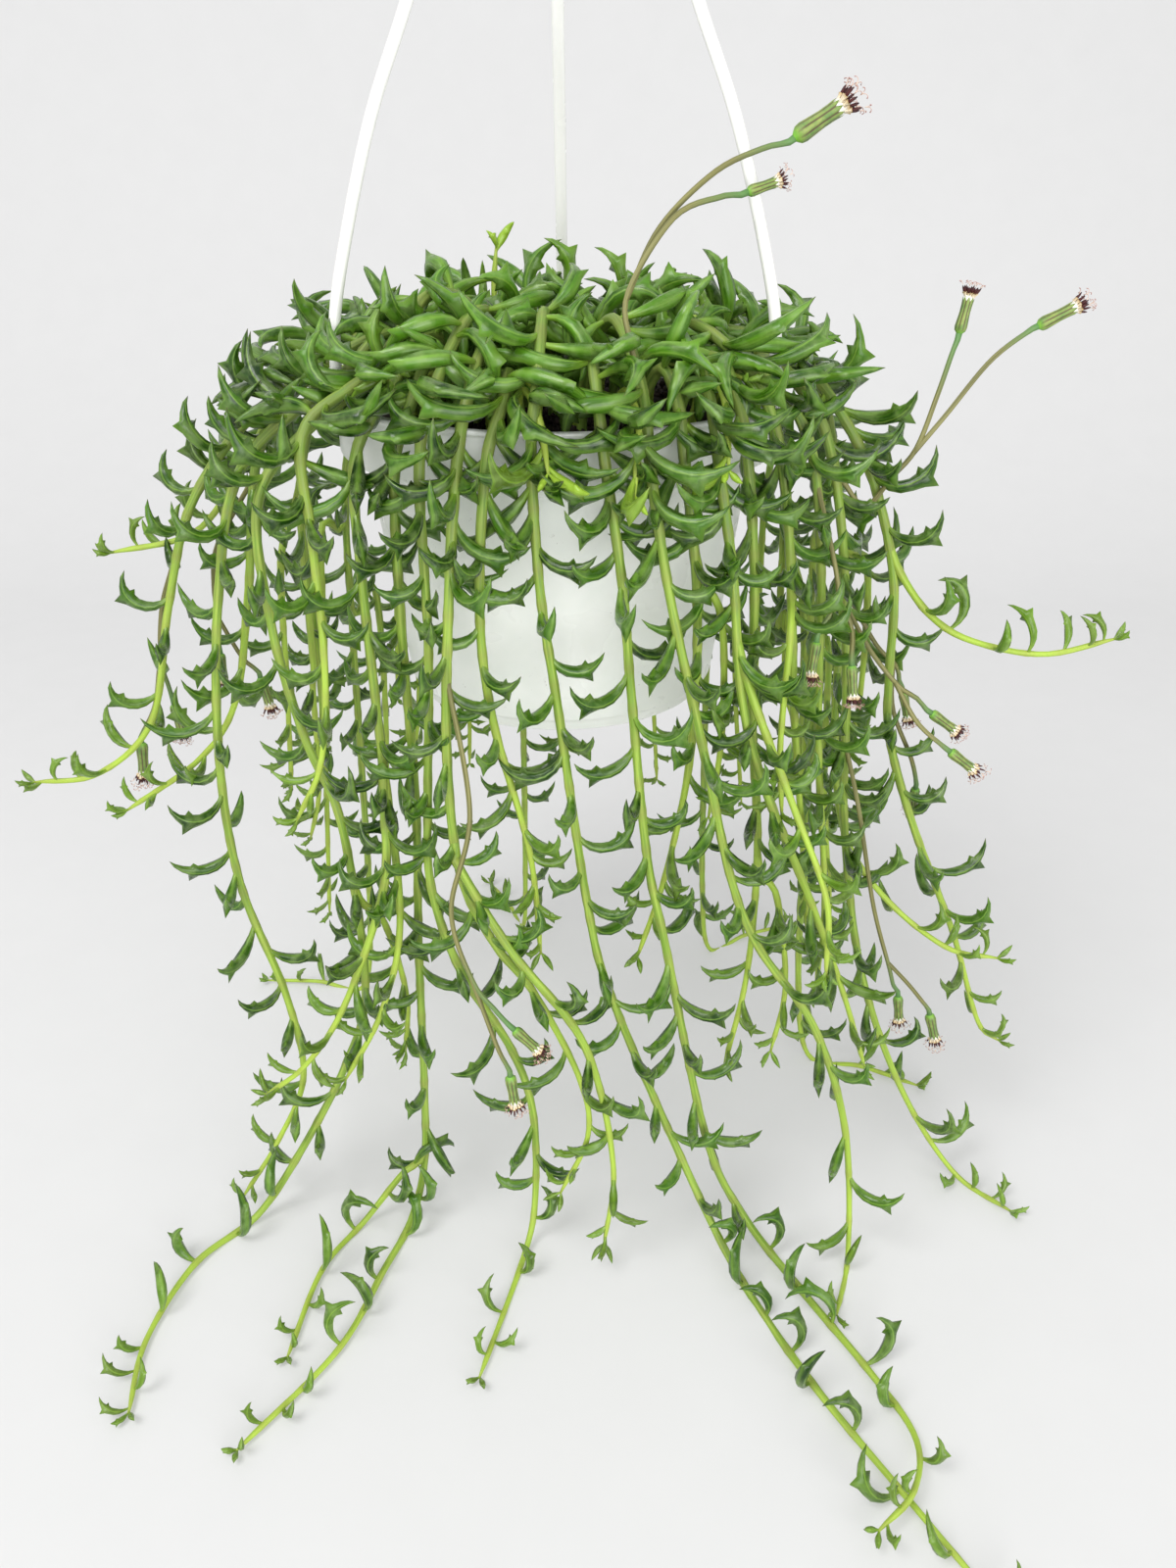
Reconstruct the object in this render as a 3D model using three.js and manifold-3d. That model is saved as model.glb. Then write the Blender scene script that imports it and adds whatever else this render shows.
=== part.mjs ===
// A string of dolphins in a hanging nursery pot: a white pot on a moulded three-armed hanger, filled with
// potting mix, with long trailing stems of crescent leaves and a few forked sprays of tufted flowers.
// Millimetres, +Z up. The origin is the point where the hook bears on its rail. Inside the group
// everything is measured from the centre of the pot's rim, with the front of the plant towards -Y.

import * as THREE from "three";
import { mergeVertices } from "three/addons/utils/BufferGeometryUtils.js";
import Module from "manifold-3d";

const wasm = await Module();
wasm.setup();

// Heights, measured from the hook's bearing point or from the rim
const RIM_DROP = 265;
const FLOOR_Z = -300;
const GAP = 0.35;

// The pot: a revolved shell with a vertical collar, a lip with ears and a low foot
const POT = {
  lip: 77,
  collar: 75.2,
  collarInside: 73.2,
  collarHeight: 18.5,
  shoulder: 66.8,
  ankle: 56,
  foot: 54.6,
  base: 53.5,
  height: 105,
  footHeight: 4,
  wall: 1.6,
  floor: 2,
  segments: 32,
};
const EAR = { centre: 78.5, radius: 5.2, thickness: 2.6, hole: 1.9, azimuths: [60, 180, 300], sides: 8 };
const DRAIN = { count: 5, ring: 30, radius: 4, sides: 8 };

// The hanger: three arms bow out from the hub to the ears, and the hook stands on the hub
const ARM = { radius: 2.1, sides: 6, steps: 10 };
const ARM_BOW = [
  [78.5, 9],
  [77, 27],
  [71, 50],
  [60.5, 81],
  [47.5, 109],
  [30, 150],
  [13, 192],
  [3.5, 219],
];
const HUB = { radius: 6.5, low: 210, high: 226 };
const HOOK = { wire: 2.5, bend: 12, sides: 8, steps: 14 };
const PEG = { flare: 4.3, top: 12, neck: 2.6, radius: 1.4, barb: 2.4, depth: 6.5, sides: 6 };

// Potting mix: its top is a low mound just under the rim
const MIX = { top: -4, edge: -7, segments: 16, holeRadius: 5, rootDepth: 20 };

// Stems are tubes of three sides, and a leaf is a crescent of three sides with two teeth
const STEM = { crown: 1.9, trail: 1.7, tip: 1.05, overRim: 81, turn: 18, longest: 75 };
const LEAF = {
  crownLength: 32,
  trailLength: 27,
  tipLength: 12,
  width: 2.7,
  crownWidth: 1.12,
  innerTooth: 1.3,
  outerTooth: 3,
  crownStep: 6.5,
  trailStep: 12.5,
  lowStep: 18,
  tipStep: 6,
  first: 30,
  spread: 120,
  apart: 38,
  ownReach: 8,
  root: 0.27,
  rings: [0.38, 0.6, 0.76],
  toothRing: 1,
};
const GOLDEN = 0.618034;
const LEAF_CLEAR = 0.45;

// Each stem: azimuth where it crosses the rim (0 is the front, 90 the right), the radius at which it stands
// in the mix, how high it arches over the rim, and the way it hangs, by hand, down to its tip.
const STEMS = [
  {
    az: -87,
    root: 40,
    lift: 16,
    way: [
      [-93, -11, -3], [-108, -20, -26], [-124, -26, -44], [-151, -32, -49],
    ],
  },
  {
    az: -77,
    root: 57,
    lift: 14,
    way: [
      [-101, -28, -7], [-120, -37, -32], [-131, -42, -65], [-142, -46, -105], [-163, -49, -124],
      [-186, -50, -127],
    ],
  },
  {
    az: -67.5,
    root: 20,
    lift: 20,
    way: [[-94, -40, -12], [-103, -44, -60], [-112, -46, -98], [-127, -48, -119], [-155, -51, -138]],
  },
  {
    az: -53,
    root: 42,
    lift: 22,
    way: [
      [-96, -54, -14], [-108, -59, -54], [-115, -62, -110], [-114, -64, -160], [-102, -69, -205],
      [-99, -71, -243], [-111, -75, -272], [-127, -80, -297.5],
    ],
  },
  {
    az: -46.5,
    root: 57,
    lift: 18,
    way: [
      [-88, -66, -18], [-90, -68, -60], [-83, -71, -99], [-73, -75, -130], [-70, -78, -195],
      [-80, -79, -230], [-100, -81, -270], [-119, -90, -297], [-137, -112, -298], [-145, -145, -298],
      [-142, -173, -298],
    ],
    branches: [{ at: 236, way: [[-62, -74, -170], [-57, -70, -205], [-60, -66, -235]] }],
  },
  {
    az: -40.5,
    root: 22,
    lift: 34,
    way: [
      [-72, -74, 0], [-71, -82, -28], [-70, -86, -55], [-71, -88, -80], [-75, -89, -102],
      [-84, -90, -120],
    ],
  },
  {
    az: -35,
    root: 44,
    lift: 24,
    way: [
      [-58, -73, -8], [-58, -79, -40], [-56, -82, -100], [-54, -86, -160], [-62, -92, -195],
      [-77, -95, -224],
    ],
    branches: [
      {
        at: 190,
        way: [
          [-58, -90, -146], [-74, -95, -190], [-90, -96, -216], [-106, -96, -230],
        ],
      },
    ],
  },
  {
    az: -29.5,
    root: 58,
    lift: 18,
    way: [
      [-46, -77, -10], [-47, -80, -60], [-47, -78, -120], [-50, -77, -180], [-52, -77, -243],
      [-54, -79, -280], [-59, -92, -298], [-66, -115, -298], [-77, -149, -298], [-103, -186, -298],
    ],
    branches: [
      {
        at: 340,
        way: [
          [-62, -84, -281], [-77, -92, -298], [-89, -115, -298], [-94, -152, -298],
        ],
      },
    ],
  },
  {
    az: -24,
    root: 24,
    lift: 30,
    way: [
      [-38, -83, -8], [-38, -88, -60], [-41, -90, -110], [-42, -91, -143], [-34, -92, -177],
      [-17, -94, -211], [-10, -95, -240], [-10, -97, -280], [-14, -108, -298], [-27, -160, -298],
    ],
  },
  {
    az: -17,
    root: 46,
    lift: 22,
    way: [
      [-27, -85, -6], [-30, -95, -40], [-33, -99, -90], [-31, -100, -133], [-21, -101, -160],
      [-8, -102, -180], [7, -104, -215], [10, -106, -240], [0, -112, -262],
    ],
    branches: [
      {
        at: 205,
        way: [
          [-31, -104, -128], [-15, -108, -158], [9, -110, -196], [19, -110, -250], [16, -112, -288],
        ],
      },
    ],
  },
  {
    az: -10,
    root: 58,
    lift: 16,
    way: [
      [-19, -86, -8], [-22, -90, -50], [-19, -91, -85], [-9, -92, -130], [-6, -93, -170],
    ],
  },
  {
    az: -3,
    root: 26,
    lift: 30,
    way: [
      [-6, -85, -4], [-4, -91, -42], [1, -93, -80], [10, -95, -150], [18, -97, -185],
      [43, -99, -254], [66, -119, -297], [86, -162, -298], [110, -203, -298], [134, -243, -298],
    ],
  },
  {
    az: 9,
    root: 52,
    lift: 20,
    way: [
      [15, -85, -8], [20, -91, -40], [23, -93, -73], [29, -94, -130], [36, -95, -165],
      [54, -95, -253], [70, -99, -289], [88, -124, -298], [106, -157, -298], [116, -182, -297],
      [110, -203, -292], [97, -214, -294],
    ],
  },
  {
    az: 18,
    root: 28,
    lift: 28,
    way: [
      [28, -85, -10], [34, -92, -44], [46, -95, -94], [57, -95, -140], [68, -95, -167],
      [89, -95, -200], [104, -97, -246], [108, -108, -296], [99, -135, -298],
    ],
  },
  {
    az: 26,
    root: 57,
    lift: 16,
    way: [[38, -77, -8], [43, -81, -50], [43, -81, -100], [36, -83, -145], [27, -87, -176]],
    branches: [{ at: 96, way: [[51, -79, -56], [53, -78, -95], [50, -79, -125]] }],
  },
  {
    az: 33,
    root: 40,
    lift: 24,
    way: [
      [48, -77, -10], [53, -84, -40], [57, -87, -75], [65, -88, -105], [85, -85, -153],
      [101, -80, -195], [114, -76, -234],
    ],
    branches: [{ at: 152, way: [[75, -98, -112], [86, -106, -140], [88, -108, -168]] }],
  },
  {
    az: 41,
    root: 58,
    lift: 18,
    way: [
      [57, -68, -8], [61, -72, -45], [63, -72, -90], [68, -73, -140], [67, -77, -190],
      [60, -84, -227],
    ],
    branches: [{ at: 210, way: [[76, -74, -160], [81, -78, -195], [77, -82, -222]] }],
  },
  {
    az: 47,
    root: 24,
    lift: 25,
    way: [[68, -62, -10], [73, -66, -45], [78, -67, -95], [84, -69, -140], [88, -74, -176]],
    branches: [{ at: 150, way: [[72, -80, -62], [71, -84, -95], [73, -86, -120]] }],
  },
  {
    az: 53.5,
    root: 45,
    lift: 18,
    way: [[78, -52, -8], [84, -57, -45], [88, -59, -105], [94, -68, -165], [93, -74, -200]],
  },
  {
    az: 66.5,
    root: 58,
    lift: 14,
    way: [
      [85, -41, -8], [93, -47, -45], [98, -51, -95], [101, -55, -140], [112, -60, -200],
      [133, -62, -256], [158, -68, -296], [176, -87, -298],
    ],
  },
  {
    az: 74,
    root: 28,
    lift: 20,
    way: [
      [90, -31, -2], [103, -37, -25], [112, -41, -57], [114, -42, -91], [117, -42, -114],
      [130, -42, -150], [151, -42, -197], [167, -42, -240], [177, -42, -250],
    ],
    branches: [{ at: 150, way: [[124, -46, -66], [137, -51, -73], [160, -56, -76], [181, -60, -69]] }],
  },
  {
    az: 82,
    root: 46,
    lift: 15,
    way: [
      [90, -16, -8], [99, -22, -60], [99, -32, -110], [104, -42, -150], [118, -52, -172],
      [143, -58, -192], [163, -60, -196],
    ],
    branches: [{ at: 120, way: [[109, -14, -60], [112, -12, -110], [110, -8, -150]] }],
  },
];

// The sides and the back hold the same kind of stems, laid by rule
const BACK = { from: 96, to: 262, count: 8, reach: 94, roots: [56, 30, 48], lifts: [15, 22, 18] };

// Flower sprays: the stem they leave and how far along it, the way of the stalk to its fork, and each head
// with the place of its cup, the way there, the direction it faces and its size
const SPRAYS = [
  {
    stem: 13,
    at: 92,
    stalk: [[22, -76, 24], [21, -66, 36]],
    heads: [
      {
        way: [[34, -56, 55], [48, -48, 60]],
        cup: [56, -43, 61],
        facing: [1, 0.35, 0.3],
        size: 0.65,
      },
      {
        way: [[30, -54, 52], [46, -43, 66], [60, -38, 72]],
        cup: [70, -34, 75],
        facing: [1, 0.2, 0.62],
        size: 1.05,
      },
    ],
  },
  {
    stem: 19,
    at: 84,
    stalk: [[99, -44, -30], [108, -38, -22], [116, -33, -14]],
    heads: [
      {
        way: [[122, -28, 2], [126, -24, 14]],
        cup: [128, -22, 20],
        facing: [0.18, 0.12, 1],
        size: 0.75,
      },
      {
        way: [[125, -30, -4], [138, -26, 12]],
        cup: [153, -22, 22],
        facing: [1, 0.1, 0.5],
        size: 0.85,
      },
    ],
  },
  {
    stem: 18,
    at: 100,
    stalk: [[87, -66, -44], [88, -68, -54]],
    heads: [
      { way: [[84, -70, -60]], cup: [82, -71, -66], facing: [-0.1, -0.1, -1], size: 0.7 },
      { way: [[93, -70, -62]], cup: [94, -71, -74], facing: [0.12, -0.1, -1], size: 0.7 },
    ],
  },
  {
    stem: 19,
    at: 128,
    stalk: [[104, -56, -76], [113, -59, -86]],
    heads: [
      { way: [[120, -58, -91]], cup: [126, -57, -97], facing: [1, 0.1, -0.75], size: 0.75 },
      { way: [[120, -62, -98]], cup: [132, -64, -108], facing: [1, 0.1, -0.8], size: 0.75 },
    ],
  },
  {
    stem: 21,
    at: 140,
    stalk: [[112, -27, -84], [120, -27, -92]],
    heads: [
      { way: [[122, -26, -98]], cup: [124, -26, -103], facing: [0.3, 0, -1], size: 0.7 },
      {
        way: [[119, -34, -106], [127, -37, -124]],
        cup: [131, -34, -138],
        facing: [0.1, 0.35, -1],
        size: 0.7,
      },
    ],
  },
  {
    stem: 19,
    at: 176,
    stalk: [[104, -63, -132], [112, -67, -168], [122, -62, -198]],
    heads: [
      { way: [[126, -58, -210]], cup: [129, -56, -217], facing: [0.15, 0, -1], size: 0.75 },
      {
        way: [[131, -60, -208], [139, -58, -219]],
        cup: [142, -57, -225],
        facing: [0.3, 0, -1],
        size: 0.8,
      },
    ],
  },
  {
    stem: 1,
    at: 122,
    stalk: [[-132, -31, -56], [-138, -29, -70], [-141, -30, -88]],
    heads: [
      { way: [[-140, -30, -98]], cup: [-139, -30, -106], facing: [0.1, 0, -1], size: 0.75 },
      { way: [[-146, -30, -106]], cup: [-153, -31, -121], facing: [-0.1, 0, -1], size: 0.85 },
    ],
  },
  {
    stem: 2,
    at: 132,
    stalk: [[-114, -34, -46], [-119, -28, -62], [-120, -26, -76]],
    heads: [
      { way: [[-121, -26, -82]], cup: [-121, -26, -88], facing: [0, 0, -1], size: 0.7 },
      { way: [[-114, -24, -90]], cup: [-109, -22, -99], facing: [0.2, 0, -1], size: 0.75 },
    ],
  },
  {
    stem: 9,
    at: 150,
    stalk: [[-26, -108, -108], [-33, -112, -140], [-27, -115, -165]],
    heads: [
      { way: [[-20, -116, -176]], cup: [-14, -116, -184], facing: [0.7, 0, -0.8], size: 0.75 },
      { way: [[-20, -117, -190]], cup: [-16, -117, -203], facing: [0.1, 0, -1], size: 0.8 },
    ],
  },
];
const STALK = { radius: 1, turn: 22 };
const CUP = { length: 13, base: 1.7, belly: 2.4, mouth: 2.1, sides: 6 };
const TUFT = { length: 7, root: 1.9, spread: 5.6, inner: 3.2, points: 6 };

const plastic = new THREE.MeshStandardMaterial({ color: 0xf2f3ef, roughness: 0.38, metalness: 0 });
const moulding = new THREE.MeshStandardMaterial({ color: 0xf6f4ee, roughness: 0.3, metalness: 0 });
const soil = new THREE.MeshStandardMaterial({ color: 0x2b211b, roughness: 0.95, metalness: 0 });
const foliage = new THREE.MeshStandardMaterial({ color: 0x4f8a4a, roughness: 0.45, metalness: 0 });
const olive = new THREE.MeshStandardMaterial({ color: 0x76834a, roughness: 0.55, metalness: 0 });
const cream = new THREE.MeshStandardMaterial({ color: 0xe9dcc9, roughness: 0.7, metalness: 0 });

const UP = new THREE.Vector3(0, 0, 1);

function vector(list) {
  return new THREE.Vector3(...list);
}

function mix(a, b, share) {
  return a + (b - a) * share;
}

function smooth(low, high, value) {
  return THREE.MathUtils.smoothstep(value, low, high);
}

// A repeatable draw from 0 to 1 for choice j of item i
function draw(i, j) {
  const wave = Math.sin(i * 12.9898 + j * 78.233) * 43758.5453;
  return wave - Math.floor(wave);
}

// The unit vector across `along` that is nearest to `wanted`
function across(wanted, along) {
  return wanted.clone().addScaledVector(along, -wanted.dot(along)).normalize();
}

// A closed three.js geometry as a solid that can be joined and cut
function solidOf(geometry) {
  const bare = geometry.clone();
  bare.deleteAttribute("normal");
  bare.deleteAttribute("uv");
  const merged = mergeVertices(bare, 1e-4);
  const index = merged.index.array;
  const kept = [];
  for (let i = 0; i < index.length; i += 3) {
    const [a, b, c] = [index[i], index[i + 1], index[i + 2]];
    if (a !== b && b !== c && c !== a) kept.push(a, b, c);
  }
  return new wasm.Manifold(
    new wasm.Mesh({
      numProp: 3,
      vertProperties: merged.attributes.position.array,
      triVerts: new Uint32Array(kept),
    }),
  );
}

// A solid back as a named mesh
function meshOf(name, solid, material) {
  const made = solid.getMesh();
  const geometry = new THREE.BufferGeometry();
  geometry.setAttribute("position", new THREE.BufferAttribute(made.vertProperties, 3));
  geometry.setIndex(new THREE.BufferAttribute(made.triVerts, 1));
  geometry.computeVertexNormals();
  const mesh = new THREE.Mesh(geometry, material);
  mesh.name = name;
  return mesh;
}

function joined(solids) {
  return wasm.Manifold.union(solids);
}

// A profile of [radius, height] pairs turned about the Z axis
function turned(profile, segments) {
  const points = profile.map(([radius, height]) => new THREE.Vector2(radius, height));
  return solidOf(new THREE.LatheGeometry(points, segments).rotateX(Math.PI / 2));
}

// An upright prism between two heights
function post(x, y, low, high, radius, sides) {
  const geometry = new THREE.CylinderGeometry(radius, radius, high - low, sides);
  return solidOf(geometry.rotateX(Math.PI / 2).translate(x, y, (low + high) / 2));
}

// A round tube along a curve
function tube(curve, radius, sides, steps) {
  const section = new THREE.Shape().absarc(0, 0, radius, 0, 2 * Math.PI);
  const geometry = new THREE.ExtrudeGeometry(section, {
    steps,
    curveSegments: sides / 2,
    extrudePath: curve,
    bevelEnabled: false,
  });
  return solidOf(geometry);
}

function around(azimuth, radius, height) {
  const angle = THREE.MathUtils.degToRad(azimuth);
  return new THREE.Vector3(Math.sin(angle) * radius, -Math.cos(angle) * radius, height);
}

function armCurve(azimuth) {
  const points = ARM_BOW.map(([radius, height]) => around(azimuth, radius, height));
  return new THREE.CatmullRomCurve3(points);
}

// The pot's shell with its ears, the ears' holes and the drain holes
function pot() {
  const { lip, collar, collarInside, collarHeight, shoulder, ankle, foot, base, height } = POT;
  const shell = turned(
    [
      [0, -height],
      [base, -height],
      [foot, POT.footHeight - height],
      [ankle, POT.footHeight + 0.6 - height],
      [shoulder, -collarHeight - 2],
      [collar - 0.2, -collarHeight],
      [collar, -1.8],
      [lip, -1.4],
      [lip, 0],
      [collarInside + 0.2, 0],
      [collarInside, 1.2 - collarHeight],
      [shoulder - POT.wall, -collarHeight - 0.5],
      [base - 0.5, POT.floor - height],
      [0, POT.floor - height],
    ],
    POT.segments,
  );
  const ears = EAR.azimuths.map((azimuth) => {
    const centre = around(azimuth, EAR.centre, 0);
    return post(centre.x, centre.y, -EAR.thickness, 0, EAR.radius, EAR.sides);
  });
  const below = -EAR.thickness - 1;
  const inside = turned([[0, below], [collar - 1, below], [collar - 1, 1], [0, 1]], POT.segments);
  const holes = EAR.azimuths.map((azimuth) => {
    const centre = around(azimuth, EAR.centre, 0);
    return post(centre.x, centre.y, -EAR.thickness - 1, 1, EAR.hole, 8);
  });
  for (let drain = 0; drain < DRAIN.count; drain++) {
    const centre = around((360 * drain) / DRAIN.count, DRAIN.ring, 0);
    holes.push(post(centre.x, centre.y, -height - 1, POT.floor + 1 - height, DRAIN.radius, DRAIN.sides));
  }
  const tabs = joined(ears).subtract(inside);
  return joined([shell, tabs]).subtract(joined(holes));
}

// One moulding: arms, hub, hook and the barbed peg that snaps through each ear
function hanger() {
  const pieces = [];
  for (const azimuth of EAR.azimuths) {
    const bow = armCurve(azimuth);
    pieces.push(tube(bow, ARM.radius, ARM.sides, ARM.steps));
    const peg = turned(
      [
        [0, PEG.top],
        [ARM.radius, PEG.top],
        [PEG.flare, PEG.top - 3.5],
        [PEG.neck, PEG.top - 5],
        [PEG.neck + 0.4, GAP],
        [PEG.radius, GAP],
        [PEG.radius, -EAR.thickness - GAP],
        [PEG.barb, -EAR.thickness - GAP],
        [PEG.radius * 0.6, -PEG.depth],
        [0, -PEG.depth],
      ].reverse(),
      PEG.sides,
    );
    const centre = around(azimuth, EAR.centre, 0);
    pieces.push(peg.translate([centre.x, centre.y, 0]));
  }
  pieces.push(
    turned(
      [
        [0, HUB.low],
        [HUB.radius - 2, HUB.low],
        [HUB.radius, HUB.low + 4],
        [HUB.radius - 1, HUB.high],
        [0, HUB.high],
      ],
      12,
    ),
  );
  const centreZ = RIM_DROP + HOOK.wire - HOOK.bend;
  const route = [new THREE.Vector3(0, 0, HUB.high - 5), new THREE.Vector3(0, 0, HUB.high + 8)];
  for (let angle = -45; angle <= 195; angle += 30) {
    const turn = THREE.MathUtils.degToRad(angle);
    route.push(new THREE.Vector3(HOOK.bend * Math.cos(turn), 0, centreZ + HOOK.bend * Math.sin(turn)));
  }
  route.push(new THREE.Vector3(-HOOK.bend - 2, 0, centreZ - HOOK.bend * 0.65));
  pieces.push(tube(new THREE.CatmullRomCurve3(route), HOOK.wire, HOOK.sides, HOOK.steps));
  return joined(pieces);
}

// The way of a stem: up out of the mix, over the rim, then down its own way to the tip
function stemRoute({ az, root, lift, way }) {
  const start = [
    around(az, root, -MIX.rootDepth),
    around(az, root, -13),
    around(az, root, -6),
    around(az, root + 1, 1),
    around(az, root + 6, 0.55 * lift),
    around(az, (root + STEM.overRim + 6) / 2, lift),
    around(az, STEM.overRim, 0.35 * lift + 3),
  ];
  return new Path([...start, ...way.map(vector)]);
}

// The back: stems over evenly spread places of the rim, every other one long enough to reach the ground
function backStems() {
  const made = [];
  for (let i = 0; i < BACK.count; i++) {
    const az = mix(BACK.from, BACK.to, i / (BACK.count - 1));
    const long = i % 2 === 0;
    const reach = BACK.reach + 8 * draw(i, 1);
    const low = long ? FLOOR_Z + 2 : mix(-150, -230, draw(i, 2));
    const lean = 5 * (draw(i, 3) - 0.5);
    const way = [
      around(az, 88, -8),
      around(az + lean, reach, -45),
      around(az + 1.6 * lean, reach + 3, -110),
      around(az + 2 * lean, reach + 5, 0.62 * low),
      around(az + 2.4 * lean, reach + 8, 0.86 * low),
      around(az + 3 * lean, reach + 16, low),
    ];
    if (long) {
      way.push(around(az + 6 * lean, reach + 38, low));
      way.push(around(az + 10 * lean, reach + 62, low));
    }
    const branches = [
      {
        at: 112 + 20 * draw(i, 5),
        way: [
          around(az + 8, reach + 4, -62),
          around(az + 9, reach + 7, -110),
          around(az + 9.5, reach + 10, -150 - 30 * draw(i, 6)),
        ],
      },
      {
        at: 150 + 20 * draw(i, 7),
        way: [
          around(az - 8, reach + 5, -96),
          around(az - 9.5, reach + 8, -150),
          around(az - 10, reach + 16, -196 - 50 * draw(i, 8)),
        ],
      },
    ];
    const [root, lift] = [BACK.roots[i % 3], BACK.lifts[i % 3]];
    made.push({ az, root, lift, way: way.map((point) => point.toArray()), branches });
  }
  return made;
}

// A smooth curve through points, measured by the distance along it
class Path {
  constructor(points, turn = STEM.turn) {
    this.curve = new THREE.CatmullRomCurve3(points, false, "catmullrom");
    this.curve.arcLengthDivisions = 60 * points.length;
    this.length = this.curve.getLength();
    this.stations = this.ringStations(turn);
    this.centres = this.stations.map((arc) => this.curve.getPointAt(arc / this.length));
    this.samples = [];
    for (let arc = 0; arc <= this.length; arc += 3) this.samples.push({ arc, point: this.on(arc) });
  }

  // Distances at which the tube gets a ring: where it has turned enough, or run far enough
  ringStations(turn) {
    const stations = [0];
    let last = this.curve.getTangentAt(0);
    for (let arc = 4; arc < this.length - 6; arc += 4) {
      const tangent = this.curve.getTangentAt(arc / this.length);
      const turned = THREE.MathUtils.radToDeg(tangent.angleTo(last));
      if (turned > turn || arc - stations.at(-1) > STEM.longest) {
        stations.push(arc);
        last = tangent;
      }
    }
    stations.push(this.length);
    return stations;
  }

  // The ring that a distance follows
  ringBefore(arc) {
    let ring = 0;
    while (ring < this.stations.length - 2 && this.stations[ring + 1] < arc) ring++;
    return ring;
  }

  // The point of the tube's own centreline, which is straight between its rings
  on(arc) {
    const ring = this.ringBefore(arc);
    const share = (arc - this.stations[ring]) / (this.stations[ring + 1] - this.stations[ring]);
    return this.centres[ring].clone().lerp(this.centres[ring + 1], THREE.MathUtils.clamp(share, 0, 1));
  }

  arcNear(point) {
    const gaps = this.samples.map((sample) => sample.point.distanceTo(point));
    return this.samples[gaps.indexOf(Math.min(...gaps))].arc;
  }

  tangent(arc) {
    return this.curve.getTangentAt(THREE.MathUtils.clamp(arc / this.length, 0, 1));
  }
}

// The rings of a tapering three-sided tube, turned as little as the path allows
function tubeRings(path, radiusAt) {
  let normal = across(new THREE.Vector3(0.31, 0.52, 0.8), path.tangent(0));
  return path.centres.map((centre, i) => {
    const tangent = path.tangent(path.stations[i]);
    const radius = radiusAt(path.stations[i], centre);
    normal = across(normal, tangent);
    const side = tangent.clone().cross(normal);
    return [0, 1, 2].map((corner) => {
      const angle = (corner * 2 * Math.PI) / 3;
      return centre
        .clone()
        .addScaledVector(normal, radius * Math.cos(angle))
        .addScaledVector(side, radius * Math.sin(angle));
    });
  });
}

// The outward direction of the tube's face that looks most nearly along `wanted`
function faceDirection(path, arc, wanted) {
  const ring = path.ringBefore(arc);
  const corners = tubeRings(path, () => 1)[ring];
  const outward = corners.map((corner) => {
    return across(path.centres[ring].clone().sub(corner), path.tangent(arc));
  });
  return outward.sort((a, b) => b.dot(wanted) - a.dot(wanted))[0];
}

// A closed surface while it is being made
class Skin {
  constructor() {
    this.positions = [];
    this.faces = [];
  }

  add(point) {
    return this.positions.push(point.x, point.y, point.z) / 3 - 1;
  }

  // The three faces between two rings of three points
  band(lower, upper) {
    for (let side = 0; side < 3; side++) {
      const next = (side + 1) % 3;
      this.faces.push(lower[side], lower[next], upper[next], lower[side], upper[next], upper[side]);
    }
  }

  solid() {
    const geometry = new THREE.BufferGeometry();
    geometry.setAttribute("position", new THREE.BufferAttribute(new Float32Array(this.positions), 3));
    geometry.setIndex(this.faces);
    return solidOf(geometry);
  }
}

// The stretch between two rings that a leaf stands on, and the face of it that looks most nearly its way
function placeLeaf(path, rings, leaf) {
  const stretch = path.ringBefore(leaf.arc);
  const looks = rings[stretch].map((corner, side) => {
    const middle = corner.clone().lerp(rings[stretch][(side + 1) % 3], 0.5);
    return middle.sub(path.centres[stretch]).normalize().dot(leaf.out);
  });
  return { leaf, stretch, side: looks.indexOf(Math.max(...looks)) };
}

// One face of a stretch, laid flat as `height` by the distance a to b, with a small triangle opened in it
// for each leaf to grow from. Corners are a, b above it c, and d above a.
function addFace(skin, corners, ids, height, placed) {
  const [a, b, c, d] = corners;
  const width = a.distanceTo(b);
  const breadth = b.clone().sub(a).normalize();
  const rise = d.clone().sub(a).normalize();
  const root = LEAF.root * Math.min(width, d.distanceTo(c));
  const frame = [[0, 0], [width, 0], [width, height], [0, height]];
  const outline = frame.map(([u, v]) => new THREE.Vector2(u, v));
  const all = [...ids];
  const holes = placed.map(({ leaf, along }) => {
    const { hollow } = leafPoint(leaf, 0);
    const heading = Math.atan2(hollow.dot(rise), hollow.dot(breadth));
    const up = THREE.MathUtils.clamp(along, root + 0.4, height - root - 0.4);
    const hole = [0, 1, 2].map((corner) => {
      const angle = heading + (corner * 2 * Math.PI) / 3;
      return new THREE.Vector2(width / 2 + root * Math.cos(angle), up + root * Math.sin(angle));
    });
    const base = hole.map(({ x, y }) => {
      const low = a.clone().lerp(b, x / width);
      const high = d.clone().lerp(c, x / width);
      return skin.add(low.lerp(high, y / height));
    });
    growLeaf(skin, leaf, base);
    all.push(...base);
    return hole;
  });
  const flat = [...outline, ...holes.flat()];
  for (const triangle of THREE.ShapeUtils.triangulateShape(outline, holes)) {
    const area = THREE.ShapeUtils.area(triangle.map((corner) => flat[corner]));
    const facingOut = area > 0 ? triangle : triangle.reverse();
    skin.faces.push(...facingOut.map((corner) => all[corner]));
  }
}

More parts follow.
